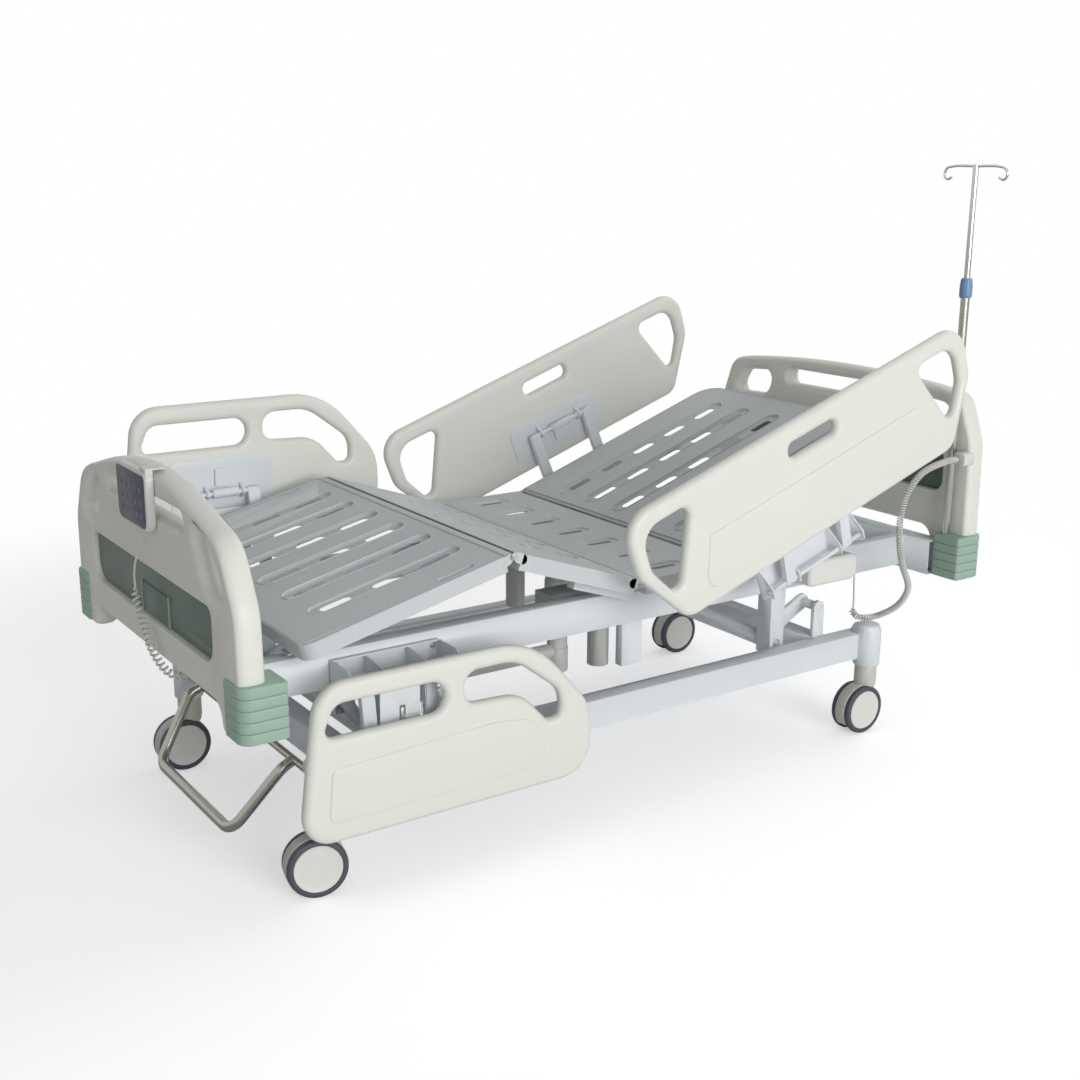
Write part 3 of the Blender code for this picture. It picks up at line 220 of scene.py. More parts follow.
def make_cord(name, lead, coil, diameter, coil_out, pitch, nodes):
    points = smooth(lead, 0.008)[:-1] + curly(smooth(coil, 0.008), coil_out - diameter / 2, pitch)
    made = round_curve(name, points, diameter / 2, 2)
    made.data.materials.append(cord_plastic[0])
    length = sum((b - a).length for a, b in zip(points, points[1:]))
    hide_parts(*nodes)
    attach(made, "frame")
    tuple(points[0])


board_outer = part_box("footboard")[0].x
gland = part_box("frame_beam_foot")[0].x - 0.0003
make_cord(
    "handset_cord",
    [(board_outer + x, y, z) for x, y, z in (
        (-0.016, -0.03, 0.7347), (-0.016, -0.03, 0.715), (-0.0205, -0.002, 0.66), (-0.022, 0.008, 0.63),
        (-0.022, 0.008, 0.605))],
    [(board_outer + x, y, z) for x, y, z in (
        (-0.022, 0.008, 0.605), (-0.022, 0.008, 0.58), (-0.02, -0.02, 0.525), (-0.016, -0.06, 0.475),
        (-0.002, -0.095, 0.44), (0.018, -0.12, 0.4305))]
    + [(gland - 0.02, -0.13, 0.432), (gland, -0.13, 0.432)],
    0.005, 0.0095, 0.0122, ["cord_handset_lead", "cord_handset_coil"])
make_cord(
    "mains_cord",
    [(0.783, -0.315, 0.4217), (0.783, -0.315, 0.4), (0.791, -0.31, 0.36), (0.798, -0.305, 0.335),
     (0.798, -0.305, 0.315)],
    [(0.798, -0.305, 0.315), (0.798, -0.305, 0.3), (0.815, -0.318, 0.286), (0.84, -0.36, 0.3),
     (0.845, -0.42, 0.345), (0.821, -0.468, 0.41), (0.768, -0.486, 0.49), (0.748, -0.488, 0.58),
     (0.763, -0.488, 0.66), (0.818, -0.487, 0.715), (0.908, -0.484, 0.735), (0.96, -0.484, 0.735)],
    0.0046, 0.0089, 0.0066, ["cord_power_lead", "cord_power_coil"])


# The steel frames: rectangular tubes, lift arms, rail arms and brackets, all welded from
# cut tube and plate, then powder coated a cool white. Their edges carry a small radius.
paint = finish_of("powder_coat", "powder_coated_steel", (0.74, 0.775, 0.8), (0.69, 0.725, 0.75), (0.3, 0.42),
                  420, 4, 0.0001)


def select_only(*objects):
    bpy.ops.object.select_all(action="DESELECT")
    for each in objects:
        each.select_set(True)
    bpy.context.view_layer.objects.active = objects[0]


def mode(name):
    bpy.ops.object.mode_set(mode=name)


def shaded(angle):
    """Shades the active mesh smooth, but for edges sharper than the angle."""
    bpy.ops.object.shade_smooth_by_angle(angle=math.radians(angle))


def closed_up(near=0.00002):
    """Joins the doubled points of the active mesh and turns its faces outwards."""
    mode("EDIT")
    bpy.ops.mesh.select_all(action="SELECT")
    bpy.ops.mesh.remove_doubles(threshold=near)
    bpy.ops.mesh.normals_make_consistent(inside=False)
    mode("OBJECT")


def chosen_faces(piece, wanted):
    """Enters edit mode with only the faces selected that are wanted."""
    mode("EDIT")
    bpy.ops.mesh.select_mode(type="FACE")
    bpy.ops.mesh.select_all(action="DESELECT")
    mode("OBJECT")
    for face in piece.data.polygons:
        face.select = wanted(face)
    mode("EDIT")


def applied(piece):
    select_only(piece)
    for modifier in list(piece.modifiers):
        bpy.ops.object.modifier_apply(modifier=modifier.name)


def settled(piece, finish, body, nodes=()):
    """Gives a finished piece its material, its body and the nodes that it stands for."""
    material, slot = finish
    piece.data.materials.clear()
    piece.data.materials.append(material)
    if nodes:
        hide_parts(*nodes)
    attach(piece, body)
    return piece


def body_of_node(node):
    return next(body for body, held in frame["record"]["behaviour"]["bodies"].items() if node in held)


def eased(node, width, finish, segments=2, angle=35):
    """A copy of a solid with its loose triangles joined and its edges given a radius."""
    select_only(frame["nodes"][node])
    bpy.ops.object.duplicate()
    piece = bpy.context.active_object
    piece.name = node + "_skin"
    piece.parent = None
    piece.matrix_world = Matrix.Identity(4)
    mode("EDIT")
    bpy.ops.mesh.select_all(action="SELECT")
    bpy.ops.mesh.remove_doubles(threshold=0.00002)
    bpy.ops.mesh.tris_convert_to_quads(face_threshold=math.radians(1), shape_threshold=math.radians(180))
    mode("OBJECT")
    given(piece.modifiers.new("edge", "BEVEL"), width=width, segments=segments, limit_method="ANGLE",
          angle_limit=math.radians(angle), harden_normals=True)
    applied(piece)
    shaded(40)
    return settled(piece, finish, body_of_node(node), [node])


for node in frame["nodes"]:
    if node.startswith(("base_", "frame_")):
        eased(node, 0.003, paint)
    elif node.startswith("lift_arm") or node.endswith("_arms") or node in (
            "siderail_head_near_bracket", "siderail_head_far_bracket"):
        eased(node, 0.0008, paint, 1)


# Zinc-plated hexagon bolts with a washer hold the brackets, the hinges and the posts.
# Each is turned with its head outwards.
def metal_of(name, colour, gloss, stretch):
    """A bare metal with its material slot, and draw marks along the stretched direction."""
    made, tree, shader = material_of(name)
    place = added(tree, "TexCoord", {})
    turn = added(tree, "Mapping", {"Vector": place.outputs["Object"], "Scale": stretch})
    marks = added(tree, "TexNoise",
                  {"Vector": turn.outputs["Vector"], "Scale": 60, "Detail": 4}).outputs["Fac"]
    rough = added(tree, "MapRange", {"To Min": gloss[0], "To Max": gloss[1], "Value": marks})
    bump = added(tree, "Bump", {"Distance": 0.00003, "Height": marks})
    fed(tree, shader, {"Metallic": 1, "Base Color": (*colour, 1), "Roughness": rough.outputs["Result"],
                       "Normal": bump.outputs["Normal"]})
    return made, "stainless_steel"


zinc = metal_of("zinc_plate", (0.62, 0.61, 0.58), (0.25, 0.5), (1, 1, 1))
bolt_count = 0


def tag_of(side):
    return "near" if side < 0 else "far"


def bolt(place, way, body, radius=0.0085, thick=0.005):
    """A bolt head on a washer at place, standing out along way."""
    global bolt_count
    bolt_count += 1
    bpy.ops.mesh.primitive_cylinder_add(vertices=24, radius=radius, depth=0.0016, location=(0, 0, 0.0008))
    washer = bpy.context.active_object
    bpy.ops.mesh.primitive_cylinder_add(vertices=6, radius=radius * 0.8, depth=thick - 0.0016,
                                        location=(0, 0, (thick + 0.0016) / 2))
    head = bpy.context.active_object
    select_only(washer, head)
    bpy.ops.object.join()
    piece = bpy.context.active_object
    piece.name = f"bolt_{bolt_count:02d}"
    piece.modifiers.new("edge", "BEVEL").width = 0.0005
    applied(piece)
    turn = Vector((0, 0, 1)).rotation_difference(Vector(way)).to_matrix().to_4x4()
    bpy.context.view_layer.update()
    piece.data.transform(Matrix.Translation(Vector(place)) @ turn @ piece.matrix_world)
    piece.matrix_world = Matrix.Identity(4)
    return settled(piece, zinc, body)


HINGE_X, HINGE_Y, HINGE_Z = -0.052, 0.4508, 0.556
THIGH_LONG, SEAT_LONG = 0.361, 0.27
THIGH, CALF, BACK = math.radians(18.9), math.radians(13.4), math.radians(19.4)
KNEE = Vector((HINGE_X - THIGH_LONG * math.cos(THIGH), 0, HINGE_Z + THIGH_LONG * math.sin(THIGH)))


def section_frame(x, z, angle, way):
    """First axis along a platform section, third axis out of its top."""
    along = Vector((way * math.cos(angle), 0, math.sin(angle)))
    out = Vector((-way * math.sin(angle), 0, math.cos(angle)))
    place = Matrix((along, Vector((0, way, 0)), out)).transposed().to_4x4()
    place.translation = Vector((x, 0, z))
    return place


thigh_place = section_frame(HINGE_X, HINGE_Z, THIGH, -1)
calf_place = section_frame(KNEE.x, KNEE.z, -CALF, -1)
seat_place = section_frame(HINGE_X, HINGE_Z, 0, 1)
back_place = section_frame(HINGE_X + SEAT_LONG, HINGE_Z, BACK, 1)
for side in (-1, 1):
    out = (0, side, 0)
    bolt((KNEE.x, side * HINGE_Y, KNEE.z), out, "thigh")
    bolt((HINGE_X, side * HINGE_Y, HINGE_Z), out, "thigh")
    bolt((HINGE_X + SEAT_LONG, side * HINGE_Y, HINGE_Z), out, "back")
    for post in (0.55, -0.597):
        bolt((HINGE_X + post, side * 0.3252, 0.275), out, "frame", 0.011, 0.006)
    for along in (-0.709, -0.478):
        bolt((HINGE_X + along, side * 0.3393, 0.471), out, "frame", 0.0075, 0.004)


# The platform: four trays pressed from sheet steel. Each has a turned-down skirt, and
# long dished troughs whose floors are slotted so that the mattress can breathe.
# Painted shade: the trays carry the frames' powder coat, but their colour is set darker, for tops that take
# less light than the frames' near faces.
tray_coat_painted_shade = finish_of("tray_coat_painted_shade", "powder_coated_steel", (0.58, 0.615, 0.62), (0.53, 0.565, 0.57),
                       (0.42, 0.55), 420, 4, 0.0001, **{"Specular IOR Level": 0.3})
TRAY_TOP, SHEET, SKIRT = 0.009, 0.0025, 0.036


def rounded(corners, step=math.radians(8)):
    """An outline through (a, b, radius) corners, each turned into an arc."""
    outline = []
    count = len(corners)
    for i, (a, b, radius) in enumerate(corners):
        here = Vector((a, b))
        to_last = Vector(corners[i - 1][:2]) - here
        to_next = Vector(corners[(i + 1) % count][:2]) - here
        room = min(to_last.length, to_next.length) * 0.499
        to_last.normalize()
        to_next.normalize()
        inside = to_last.angle(to_next)
        turn = math.pi - inside
        if radius <= 0 or turn < 0.02:
            outline.append((a, b))
            continue
        reach = min(radius * math.tan(turn / 2), room)
        radius = reach / math.tan(turn / 2)
        middle = here + (to_last + to_next).normalized() * (radius / math.sin(inside / 2))
        start = here + to_last * reach - middle
        hand = 1 if start.x * (here.y - middle.y) - start.y * (here.x - middle.x) > 0 else -1
        parts = max(1, math.ceil(turn / step))
        for k in range(parts + 1):
            angle = hand * turn * k / parts
            outline.append((middle.x + start.x * math.cos(angle) - start.y * math.sin(angle),
                            middle.y + start.x * math.sin(angle) + start.y * math.cos(angle)))
    return outline


def slab(a0, a1, b0, b1, radius=0, step=math.radians(8)):
    """A rectangle with all its corners turned into arcs."""
    return rounded([(a0, b0, radius), (a1, b0, radius), (a1, b1, radius), (a0, b1, radius)], step)


def oval(u0, u1, v, half):
    """A slot with round ends, without the two points that nearly meet there."""
    line = slab(u0, u1, v - half, v + half, half, math.radians(15))
    return [point for k, point in enumerate(line) if math.dist(point, line[k - 1]) > 0.0002]


def flat_shape(name, lines, thick=0, edge=0, rings=3):
    """A filled outline with holes, as a mesh in the XY plane, its rims rounded by edge."""
    rounding = {"extrude": thick / 2 - edge, "bevel_depth": edge, "bevel_resolution": rings, "offset": -edge}
    select_only(curve_through(name, lines, True, dimensions="2D", fill_mode="BOTH",
                              **(rounding if thick else {})))
    bpy.ops.object.convert(target="MESH")
    return bpy.context.active_object


def select_open(piece, *lines):
    """Selects the open edges of the piece that lie on any of the lines, each with a height."""
    used = {}
    for face in piece.data.polygons:
        for key in face.edge_keys:
            used[key] = used.get(key, 0) + 1
    points = piece.data.vertices
    for edge in piece.data.edges:
        ends = [points[k].co for k in edge.vertices]
        edge.select = used.get(edge.key, 0) == 1 and any(
            abs(ends[0].z - height) < 0.0005 and all(on_line(end, line) for end in ends)
            for line, height in lines)


def on_line(point, line, near=0.0004):
    """True if the point lies on the closed line."""
    for (ax, ay), (bx, by) in zip(line, line[1:] + line[:1]):
        dx, dy = bx - ax, by - ay
        t = max(0, min(1, ((point.x - ax) * dx + (point.y - ay) * dy) / (dx * dx + dy * dy)))
        if math.hypot(point.x - ax - t * dx, point.y - ay - t * dy) < near:
            return True
    return False


DISH = 0.005


def tray(name, skirt0, skirt1, ends, troughs, place, body, node, half=0.45):
    """troughs are (u0, u1, v, half width, slots), slots are (u0, u1, half width)."""
    low, high = ends
    outline = rounded([(skirt0, -half, low), (skirt1, -half, high), (skirt1, half, high),
                       (skirt0, half, low)])
    rims = [oval(a, b, v, wide) for a, b, v, wide, _ in troughs]
    floors = [oval(a + 0.005, b - 0.005, v, wide - 0.005) for a, b, v, wide, _ in troughs]
    parts = [flat_shape(name, [outline] + rims)]
    for (a, b, v, wide, slots), floor in zip(troughs, floors):
        dish = flat_shape(name + "_floor", [floor] + [oval(s0, s1, v, w) for s0, s1, w in slots])
        for vertex in dish.data.vertices:
            vertex.co.z = -DISH
        parts.append(dish)
    select_only(*parts)
    bpy.ops.object.join()
    piece = bpy.context.active_object
    mode("EDIT")
    bpy.ops.mesh.select_mode(type="EDGE")
    for rim, floor in zip(rims, floors):
        bpy.ops.mesh.select_all(action="DESELECT")
        mode("OBJECT")
        select_open(piece, (rim, 0), (floor, -DISH))
        mode("EDIT")
        bpy.ops.mesh.bridge_edge_loops(number_cuts=2, smoothness=0)
    bpy.ops.mesh.select_all(action="DESELECT")
    mode("OBJECT")
    select_open(piece, (outline, 0))
    mode("EDIT")
    bpy.ops.mesh.extrude_region_move(TRANSFORM_OT_translate={"value": (0, 0, -SKIRT)})
    closed_up()
    if sum(face.normal.z * face.area for face in piece.data.polygons) < 0:
        piece.data.flip_normals()
    given(piece.modifiers.new("fold", "BEVEL"), width=0.004, segments=4, limit_method="ANGLE",
          angle_limit=math.radians(62))
    given(piece.modifiers.new("rim", "BEVEL"), width=0.0013, segments=2, limit_method="ANGLE",
          angle_limit=math.radians(32))
    given(piece.modifiers.new("wall", "SOLIDIFY"), thickness=SHEET - 0.0004, offset=-1)
    applied(piece)
    shaded(38)
    piece.modifiers.new("level_sheet", "WEIGHTED_NORMAL").keep_sharp = True
    applied(piece)
    piece.data.transform(place @ Matrix.Translation((0, 0, TRAY_TOP)))
    piece.name = name
    return settled(piece, tray_coat_painted_shade, body, [node])


def plate(name, axis, outline, lo, hi, place, finish, body, edge=0.0006, holes=(), rings=1, nodes=(),
          deep=None):
    """A flat piece whose outline lies across the axis, between lo and hi along it. Its rims
    are rounded by edge, and stretched to deep along the axis where that is given."""
    piece = flat_shape(name, [outline] + list(holes), abs(hi - lo), edge, rings)
    if deep:
        half = abs(hi - lo) / 2
        for vertex in piece.data.vertices:
            sunk = half - abs(vertex.co.z)
            vertex.co.z = math.copysign(half - sunk * deep / edge, vertex.co.z)
    middle = (lo + hi) / 2
    for vertex in piece.data.vertices:
        a, b, c = vertex.co
        vertex.co = {"X": (middle + c, a, b), "Y": (a, middle + c, b), "Z": (a, b, middle + c)}[axis]
    closed_up()
    if sum(face.center.dot(face.normal) * face.area for face in piece.data.polygons) < 0:
        piece.data.flip_normals()
    shaded(38)
    piece.data.transform(place)
    return settled(piece, finish, body, nodes)


level = Matrix.Identity(4)
calf_slots = [(0.08, 0.153, 0.0128), (0.197, 0.27, 0.0128), (0.322, 0.395, 0.0128)]
tray("calf_tray", 0.021, 0.4997, (0.004, 0.03),
     [(0.052, 0.423, v, 0.026, calf_slots) for v in (-0.3125, -0.1875, -0.0625, 0.0625, 0.1875, 0.3125)]
     + [(0.085, 0.175, v, 0.0085, []) for v in (-0.425, 0.425)],
     calf_place, "calf", "platform_calf")
back_slots = [(0.078 + 0.12 * k, 0.15 + 0.12 * k, 0.0128) for k in range(5)]
tray("back_tray", 0.0165, 0.74, (0.004, 0.06),
     [(0.05, 0.66, v, 0.025, back_slots) for v in (-0.31, -0.19, -0.065, 0.065, 0.19, 0.31)],
     back_place, "back", "platform_back")
tray("seat_tray", 0.0145, 0.2555, (0.003, 0.003),
     [(0.072, 0.178, 0.125 * row, 0.022, [(0.09, 0.16, 0.01)]) for row in range(-3, 4)],
     seat_place, "frame", "platform_seat")
tray("thigh_tray", 0.014, 0.341, (0.003, 0.003),
     [(0.25, 0.29, 0, 0.015, [])]
     + [(u, u + 0.052, v, 0.022, []) for u in (0.05, 0.16) for v in (-0.26, -0.13, 0, 0.13, 0.26)],
     thigh_place, "thigh", "platform_thigh")


# Under the trays sit the parts welded to them: hinge tongues and ears, the seat's bearers,
# the horns that the motors push, the calf's glides and the thigh's stiffeners.
def ears(name, place, body, u, inward, drop, radius, out, thick):
    for side in (-1, 1):
        line = oval(u, u + inward * 0.035, 0, radius) if inward > 0 else oval(u - 0.035, u, 0, radius)
        line = [(a, b + drop * abs(a - u) / 0.035) for a, b in line]
        plate(f"{name}_{tag_of(side)}", "Y", line, side * out, side * (out - thick), place, tray_coat_painted_shade, body)


def horns(name, place, body, outline, pin, y):
    for k, near in enumerate((y - 0.0165, y + 0.0125)):
        plate(f"{name}_{k}", "Y", outline, near, near + 0.004, place, tray_coat_painted_shade, body)
    plate(name + "_pin", "Y", oval(pin[0] - 0.008, pin[0] + 0.008, pin[1], 0.008), y - 0.015, y + 0.015,
          place, zinc, body)


ears("thigh_ear_seat", thigh_place, "thigh", 0, 1, -0.003, 0.012, 0.45, SHEET)
ears("thigh_ear_knee", thigh_place, "thigh", THIGH_LONG, -1, -0.003, 0.012, 0.45, SHEET)
ears("calf_ear", calf_place, "calf", 0, 1, -0.01, 0.011, 0.4465, 0.004)
ears("seat_ear_foot", seat_place, "frame", 0, 1, -0.004, 0.011, 0.4465, 0.004)
ears("seat_ear_head", seat_place, "frame", SEAT_LONG, -1, -0.004, 0.011, 0.4465, 0.004)
ears("back_ear", back_place, "back", 0, 1, -0.006, 0.012, 0.45, SHEET)
for name, place, body, u0, u1 in (
    ("calf_tongue", calf_place, "calf", 0.004, 0.024),
    ("thigh_tongue_seat", thigh_place, "thigh", 0.004, 0.017),
    ("thigh_tongue_knee", thigh_place, "thigh", 0.338, 0.358),
    ("seat_tongue_foot", seat_place, "frame", 0.004, 0.017),
    ("seat_tongue_head", seat_place, "frame", 0.253, 0.26),
    ("back_tongue", back_place, "back", 0.006, 0.019),
):
    plate(name, "Z", slab(u0, u1, -0.44, 0.44), TRAY_TOP - SHEET, TRAY_TOP - 0.0003, place, tray_coat_painted_shade, body)
for k, (x0, x1) in enumerate(((0.045, 0.07), (0.205, 0.235))):
    plate(f"seat_bearer_{k}", "X", slab(-0.335, 0.335, -0.0525, 0.0068), x0, x1, seat_place, paint, "frame",
          0.002)
horn_u, horn_v = 0.1 * math.sin(math.radians(-15.75)), -0.1 * math.cos(math.radians(-15.75))
horns("thigh_horn", thigh_place, "thigh",
      [(0.03, 0.007), (0.06, 0.007), (0.04, horn_v + 0.02), (horn_u, horn_v - 0.013),
       (horn_u - 0.013, horn_v), (horn_u - 0.004, horn_v + 0.012), (0.016, horn_v + 0.045)],
      (horn_u, horn_v), -0.25)
horn_u, horn_v = 0.11 * math.sin(math.radians(-37.5)), -0.11 * math.cos(math.radians(-37.5))
horns("back_horn", back_place, "back",
      [(0.025, 0.007), (0.1, 0.007), (0.046, horn_v - 0.006), (horn_u, horn_v - 0.013),
       (horn_u - 0.013, horn_v), (horn_u - 0.004, horn_v + 0.012), (0.025, -0.072)],
      (horn_u, horn_v), -0.25)
for side in (-1, 1):
    # Across these two frames, near is on the positive side.
    tag = tag_of(-side)
    plate("thigh_stiffener_" + tag, "Y",
          [(0.125, 0.007), (0.125, -0.052), (-0.062, -0.052), (-0.062, -0.028), (0.02, -0.028),
           (0.02, 0.007)],
          side * 0.349, side * 0.375, thigh_place, paint, "thigh", 0.0015)
    plate("calf_glide_" + tag, "Y",
          [(0.445, 0.007), (0.449, 0.007), (0.451, -0.03), (0.468, -0.046), (0.493, -0.0475),
           (0.493, -0.0505), (0.466, -0.049), (0.446, -0.032)],
          side * 0.298, side * 0.335, calf_place, paint, "calf")


# The head and foot boards are blow-moulded in off-white plastic: a thick, fully rounded
# rim, hand holes, and a window that holds a dark green panel.
shell_plastic = finish_of("shell_plastic", "abs_off_white", (0.76, 0.77, 0.71), (0.72, 0.73, 0.67),
                          (0.38, 0.5), 700, 5, 0.00008)
panel_green = finish_of("panel_green", "green_panel", (0.115, 0.165, 0.13), (0.1, 0.145, 0.115), (0.3, 0.42),
                        500, 7, 0.00008)


def mirrored(corners):
    return corners + [(-a, b, radius) for a, b, radius in reversed(corners)]


def crown(height, drop, half, parts=12):
    return [(2 * half * k / parts - half, height - drop * (2 * k / parts - 1) ** 2) for k in range(parts + 1)]


def nearest(line, a, b):
    """The corner of the line nearest to the point, and how far it is."""
    corner = min(line, key=lambda place: math.hypot(place[0] - a, place[1] - b))
    return corner, math.hypot(corner[0] - a, corner[1] - b)


def board(name, crowned, shoulders, lobe, slot, ovals, window):
    lo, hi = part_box(name)[0].x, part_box(name)[1].x
    low, arch_y, arch_z = lobe
    corners = [(a, b, 0) for a, b in crown(*crowned) if a > 0] + shoulders
    corners += [(0.495, low, 0.03), (arch_y - 0.01, low, 0.022), (arch_y - 0.02, arch_z, 0.04)]
    holes = [rounded(mirrored(slot))]
    for side in (-1, 1):
        holes.append(rounded([(side * a, b, r) for a, b, r in ovals]))
    holes.append(rounded(mirrored(window)))
    piece = plate(name + "_shell", "X", rounded(mirrored(corners)), lo, hi, level, shell_plastic, "frame",
                  0.013, holes, 7, [name], deep=0.024)
    # The rims round the hand holes are fuller than the outline's, the window's is sharper.
    rims = [(rounded(mirrored(corners)), 0)] + list(zip(holes, (0.2, 0.7, 0.7, -0.7)))
    for vertex in piece.data.vertices:
        found = [(*nearest(line, vertex.co.y, vertex.co.z), more) for line, more in rims]
        (y, z), _, more = min(found, key=lambda each: each[1])
        vertex.co.y += (vertex.co.y - y) * more
        vertex.co.z += (vertex.co.z - z) * more
    # The flat faces are filled anew between the moved rims.
    chosen_faces(piece, lambda face: abs(face.normal.x) > 0.9999)
    bpy.ops.mesh.delete(type="FACE")
    bpy.ops.mesh.select_mode(type="EDGE")
    for x in (lo, hi):
        bpy.ops.mesh.select_all(action="DESELECT")
        mode("OBJECT")
        for edge in piece.data.edges:
            edge.select = all(abs(piece.data.vertices[k].co.x - x) < 0.00005 for k in edge.vertices)
        mode("EDIT")
        bpy.ops.transform.rotate(value=0.4, orient_axis="X", center_override=(x, 0, 0))
        bpy.ops.mesh.fill(use_beauty=True)
        bpy.ops.transform.rotate(value=-0.4, orient_axis="X", center_override=(x, 0, 0))
    bpy.ops.mesh.select_all(action="SELECT")
    bpy.ops.mesh.normals_make_consistent(inside=False)
    mode("OBJECT")
    # The corners are cut square where the bumpers meet them.
    for side in (-1, 1):
        bpy.ops.mesh.primitive_cube_add(size=1)
        cutter = given(bpy.context.active_object, dimensions=(0.2, 0.1, 0.3),
                       location=((lo + hi) / 2, side * (0.4197 + 0.05), 0.5253 - 0.15))
        piece.modifiers.new("trim", "BOOLEAN").object = cutter
        applied(piece)
        bpy.data.objects.remove(cutter)
    shaded(38)


board("footboard", (0.865, 0.035, 0.26), [(0.42, 0.788, 0.1), (0.487, 0.66, 0.12)], (0.4, 0.4, 0.455),
      [(0.235, 0.804, 0.016), (0.235, 0.77, 0.016)],
      [(0.275, 0.8, 0.035), (0.36, 0.772, 0.05), (0.434, 0.672, 0.018), (0.345, 0.672, 0.05)],
      [(0.362, 0.645, 0.02), (0.362, 0.53, 0.045)])
board("headboard", (0.925, 0.02, 0.38), [(0.445, 0.895, 0.06), (0.49, 0.77, 0.12)], (0.45, 0.385, 0.525),
      [(0.2, 0.887, 0.02), (0.2, 0.845, 0.02)],
      [(0.268, 0.874, 0.03), (0.39, 0.864, 0.04), (0.43, 0.795, 0.02), (0.29, 0.8, 0.045)],
      [(0.4, 0.755, 0.045), (0.4, 0.63, 0.03)])
for name in ("footboard_panel", "headboard_panel"):
    eased(name, 0.001, panel_green)


# The corner bumpers are soft green plastic, ribbed by four grooves so that they give when
# the bed strikes a door frame. Their outer corner is well rounded.
bumper_green = finish_of("bumper_green", "green_plastic", (0.33, 0.46, 0.38), (0.29, 0.42, 0.34), (0.38, 0.5),
                         500, 9, 0.00008)
for end, way in (("foot", -1), ("head", 1)):
    for side in (-1, 1):
        name = f"bumper_{end}_{tag_of(side)}"
        low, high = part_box(name)
        ribs = 5
        step = (high.z - low.z) / ribs
        inner, outer = (high.x, low.x) if way < 0 else (low.x, high.x)
        near, far = (high.y, low.y) if side < 0 else (low.y, high.y)
        line = rounded([(inner, near, 0.005), (outer, near, 0.007), (outer, far, 0.028), (inner, far, 0.008)])
        parts = []
        for k in range(ribs):
            rib = flat_shape(name, [line], step, 0.0035, 3)
            for vertex in rib.data.vertices:
                vertex.co.z += low.z + step * (k + 0.5)
            parts.append(rib)
        select_only(*parts)
        bpy.ops.object.join()
        piece = bpy.context.active_object
        piece.name = name + "_skin"
        # The caps between the ribs come out, and the ribs meet along their grooves.
        chosen_faces(piece, lambda face: abs(face.normal.z) > 0.999
                     and low.z + 0.001 < face.center.z < high.z - 0.001)
        bpy.ops.mesh.delete(type="FACE")
        closed_up()
        shaded(40)
        settled(piece, bumper_green, "frame", [name])


# The siderails are blow-moulded like the boards. Their outer face carries a raised panel,
# and a steel plate with two lugs is let into the inner face for the arms.
RAIL = 0.035


def siderail(name, body, place, side, mid, outline, holes, panel, steel, lugs, pivot, latch):
    inner, face = mid - RAIL / 2, mid + RAIL / 2
    plate(name + "_shell", "Y", rounded(outline), side * inner, side * (face - 0.003), place, shell_plastic,
          body, 0.0155, [rounded(hole) for hole in holes], 6, [name])
    plate(name + "_panel", "Y", rounded(panel), side * (face - 0.012), side * face, place,
          shell_plastic, body, 0.0034, (), 3)
    plate(name + "_plate", "Y", slab(*steel, 0.015), side * (inner - 0.003), side * (inner + 0.004),
          place, paint, body, 0.0015, (), 2)
    for k, u in enumerate(lugs):
        half = [(inner - 0.001, 0.022, 0), (pivot[0], 0.0125, 0.012), (pivot[0] - 0.012, 0.004, 0.012)]
        line = rounded([(side * a, pivot[1] - b, r) for a, b, r in half]
                       + [(side * a, pivot[1] + b, r) for a, b, r in reversed(half)])
        plate(f"{name}_lug_{k}", "X", line, u - 0.004, u + 0.004, place, paint, body)
    plate(name + "_latch", "Y", slab(*latch, 0.006), side * (inner - 0.011), side * inner, place, paint, body,
          0.002, (), 2)


def along(corners, shift, low=0):
    return [(a + shift, b + low, r) for a, b, r in corners]


foot_outline = [(-0.855, 0, 0.065), (-0.812, 0.343, 0.075), (-0.3, 0.343, 0.2), (-0.143, 0.165, 0.13),
                (-0.141, 0, 0.08)]
foot_slot = [(-0.8, 0.226, 0.018), (-0.772, 0.296, 0.035), (-0.518, 0.296, 0.034), (-0.518, 0.226, 0.034)]
foot_bean = [(-0.472, 0.303, 0.035), (-0.345, 0.303, 0.1), (-0.226, 0.212, 0.06), (-0.228, 0.15, 0.018),
             (-0.262, 0.152, 0.018), (-0.33, 0.226, 0.09), (-0.472, 0.232, 0.03)]
foot_panel = [(-0.795, 0.045, 0.02), (-0.785, 0.163, 0.02), (-0.4, 0.18, 0.12), (-0.285, 0.165, 0.07),
              (-0.268, 0.065, 0.03), (-0.3, 0.048, 0.03)]
for side, mid, pivot_z in ((-1, 0.4525, 0.25405), (1, 0.545, 0.65677)):
    name = "siderail_foot_" + tag_of(side)
    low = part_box(name)[0].z
    siderail(name, name, level, side, mid, along(foot_outline, HINGE_X, low),
             [along(foot_slot, HINGE_X, low), along(foot_bean, HINGE_X, low)],
             along(foot_panel, HINGE_X, low),
             (HINGE_X - 0.73, HINGE_X - 0.457, low + 0.045, low + 0.2),
             (HINGE_X - 0.641, HINGE_X - 0.546), (mid - 0.037, pivot_z),
             (HINGE_X - 0.615, HINGE_X - 0.572, low + 0.128, low + 0.175))
MIDDLE = 0.224
head_half = [(0.549, 0.308, 0.115), (0.545, 0.165, 0.07), (0.447, 0.01, 0.05)]
head_opening = [(0.366, 0.263, 0.02), (0.507, 0.263, 0.06), (0.507, 0.165, 0.05), (0.455, 0.072, 0.02)]
head_outline = along(head_half, MIDDLE) + [(MIDDLE - a, b, r) for a, b, r in reversed(head_half)]
head_slot = [(0.155, 0.262, 0.017), (0.31, 0.262, 0.017), (0.31, 0.225, 0.017), (0.155, 0.225, 0.017)]
head_panel = [(-0.118, 0.172, 0.012), (0.572, 0.172, 0.012), (0.645, 0.045, 0.03), (-0.165, 0.045, 0.03)]
